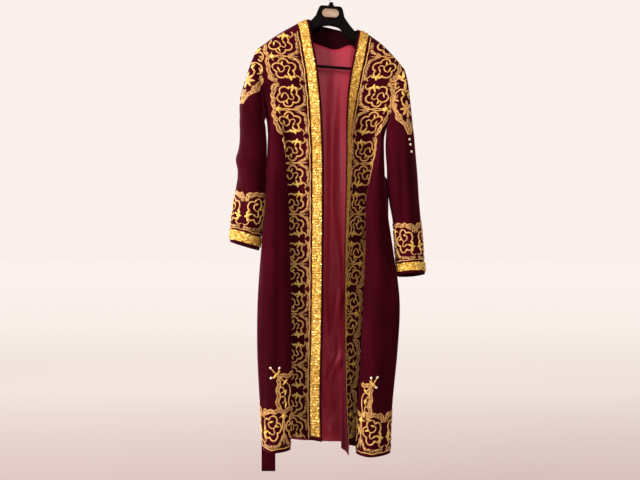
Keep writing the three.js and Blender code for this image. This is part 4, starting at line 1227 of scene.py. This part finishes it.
def hemUnits(cords, leaves, surface, starts):
    # the repeat turned a quarter: its braid side lies along the hem and its length runs across
    def place(s, z, lift):
        across = -np.asarray(z)
        return onSurface(surface, across, np.interp(across, *surface["hem"]) + s, lift)

    cords.place = leaves.place = place
    for start in starts:
        scrollUnit(cords, leaves, hem["start"], -start, -start - hem["long"], hem["wide"])


# Shoulder motifs cross the armhole seam: a fleur, curls, a rosette and a pointed foot

shoulderMotif = {
    "right": {"top": (-241, -196), "tip": (-283, -388), "wide": 88},
    "left": {"top": (229, -284), "tip": (245, -486), "wide": 74},
    "high": 190, "drawn": 92,
}
shoulderSpine = ((0, 2), (-6, 16), (4, 30), (-4, 46), (2, 60))
# each curl is mirrored, and each leaf off the middle line
shoulderCurls = (((-2, 22), (-20, 14), (-34, 26), (-30, 42), (-18, 38)),
                 ((0, 56), (-18, 50), (-36, 58), (-40, 76), (-28, 84)), ((-8, 70), (-18, 78), (-16, 90)))
shoulderFrame = ((40, 90), (46, 104), (38, 118), (40, 132), (28, 142), (14, 154), (7, 168), (0, 183))
shoulderFleurs = ((0, 2, 90, 26, 14, 0, 0.5), (-13, 8, 145, 22, 12, 0, 0.5), (0, 40, 90, 22, 11, 0, 0.5),
                  (-10, 62, 120, 18, 11, 0, 0.5))
shoulderLeaves = ((-29, 30, 200, 20, 12, 4, 0.5), (-35, 70, 230, 20, 12, 4, 0.5),
                  (0, 150, 270, 30, 20, 5, 0.5), (-26, 130, 300, 22, 13, 4, 0.5),
                  (-40, 92, 100, 18, 12, 4, 0.5))
rosette = {"at": (0, 108), "petals": 8, "reach": 15, "length": 24, "width": 11, "button": 12, "high": 4.0}
shoulderBeads = {"right": (), "left": ((-2, 198), (0, 213), (2, 234))}


def frontPlace(panels, names, motif):
    # turns a motif's own x and y into places on the front of the panels, met from the front
    trees = [gridTree(*panels[name], wrap=name.startswith("sleeve")) for name in names]
    top, tip = np.array(motif["top"], float), np.array(motif["tip"], float)
    down = (tip - top) / shoulderMotif["high"]
    across = np.array((-down[1], down[0])) * motif["wide"] / shoulderMotif["drawn"]

    def place(s, y, lift):
        spots = top + np.outer(s, across) + np.outer(y, down)
        points, on = np.zeros((len(spots), 3)), np.zeros(len(spots), bool)
        for n, (x, z) in enumerate(spots):
            hits = [tree.ray_cast(Vector((x, -400, z)), Vector((0, 1, 0))) for tree in trees]
            hits = [hit for hit in hits if hit[0] is not None]
            if hits:
                spot, normal = min(hits, key=lambda hit: hit[0].y)[:2]
                points[n] = spot + normal * (float(lift[n]) + 0.2)
                on[n] = normal.y < -0.25
        return points, on

    return place


def bothSides(leaves):
    # the same leaves with those off the middle line mirrored
    return [(x * turn, y, angle if turn > 0 else 180 - angle, *rest)
            for x, y, angle, *rest in leaves for turn in ((1, -1) if x else (1,))]


def buildShoulderMotif(panels, side):
    place = frontPlace(panels, (f"sleeve_{side}", f"front_{side}"), shoulderMotif[side])
    cords, leaves, beads = SewnWork(place), SewnWork(place), SewnWork(place)
    height = scroll["leafHeight"]
    curls = [[(x * turn, y) for x, y in curl] for curl in shoulderCurls for turn in (1, -1)]
    for knots in (shoulderSpine, *curls):
        addCord(cords, [np.add(knot, jitter()) for knot in knots], *scroll["loopCord"])
    for turn in (1, -1):
        addBand(cords, leaves, [(x * turn, y) for x, y in shoulderFrame])
    addLeaves(cords, bothSides(shoulderFleurs), tuple, -1, height * 1.4, finish=1)
    addLeaves(leaves, bothSides(shoulderLeaves), tuple, -1, height)
    for k in range(rosette["petals"]):
        angle = 360 * k / rosette["petals"]
        x = rosette["at"][0] + rosette["reach"] * math.cos(math.radians(angle))
        y = rosette["at"][1] + rosette["reach"] * math.sin(math.radians(angle))
        addLeaf(cords, (x, y), angle, rosette["length"], rosette["width"], height * 1.3, 0, 0.4)
    addLeaf(cords, rosette["at"], 0, rosette["button"], rosette["button"], rosette["high"], 0, 0.0)
    for spot in shoulderBeads[side]:
        addBead(beads, spot)
    buildPair(cords, leaves, "shoulder", side)
    if beads.count:
        beads.build(f"shoulder_beads_{side}", "goldBead")


# Cuff motifs: the repeat twice round each sleeve above its braid; gap in degrees from the top line

cuff = {"gap": {"right": 78, "left": 67}, "units": 2, "wide": 1.16, "clear": 2}


def buildCuffMotif(panels, side):
    grid, facing = panels[f"sleeve_{side}"]
    braidTop = wayDown(grid)[-2 * cloth["sleeveRows"] - 1]
    place, around = roundPlace(grid, facing, braidTop - cuff["clear"])
    cords, leaves = SewnWork(place), SewnWork(place)
    long = around / cuff["units"]
    for k in range(cuff["units"]):
        top = -around * cuff["gap"][side] / 360 - k * long
        scrollUnit(cords, leaves, 0, top, top - long, cuff["wide"])
    buildPair(cords, leaves, "cuff", side)


def buildScrolls(panels):
    for side in sides:
        surface = panelSurface(*panels[f"front_{side}"])
        place = partial(onSurface, surface)
        cords, leaves, beads = SewnWork(place), SewnWork(place), SewnWork(place)
        for top, bottom, wide in zip(scroll["tops"], scroll["tops"][1:], scroll["widths"]):
            scrollUnit(cords, leaves, scroll["start"], top, bottom, wide)
        beadStem(cords, leaves, beads, *hem[side]["stem"])
        hemUnits(cords, leaves, surface, hem[side]["starts"])
        buildPair(cords, leaves, "scroll", f"front_{side}")
        beads.build(f"hem_beads_{side}", "goldBead")
        print("scrolls", side, len(cords.faces), len(leaves.faces))
        buildShoulderMotif(panels, side)
        buildCuffMotif(panels, side)
    cords, leaves = SewnWork(None), SewnWork(None)
    hemUnits(cords, leaves, panelSurface(*panels["back"]), hem["back"])
    buildPair(cords, leaves, "scroll", "back")


buildStudio()
materials = buildMaterials()
panels = buildPanels()
buildInside(panels["back"][0])
buildBelt()
buildBeltLoops(panels["back"][0])
buildHanger()
buildBraids(panels)
buildScrolls(panels)
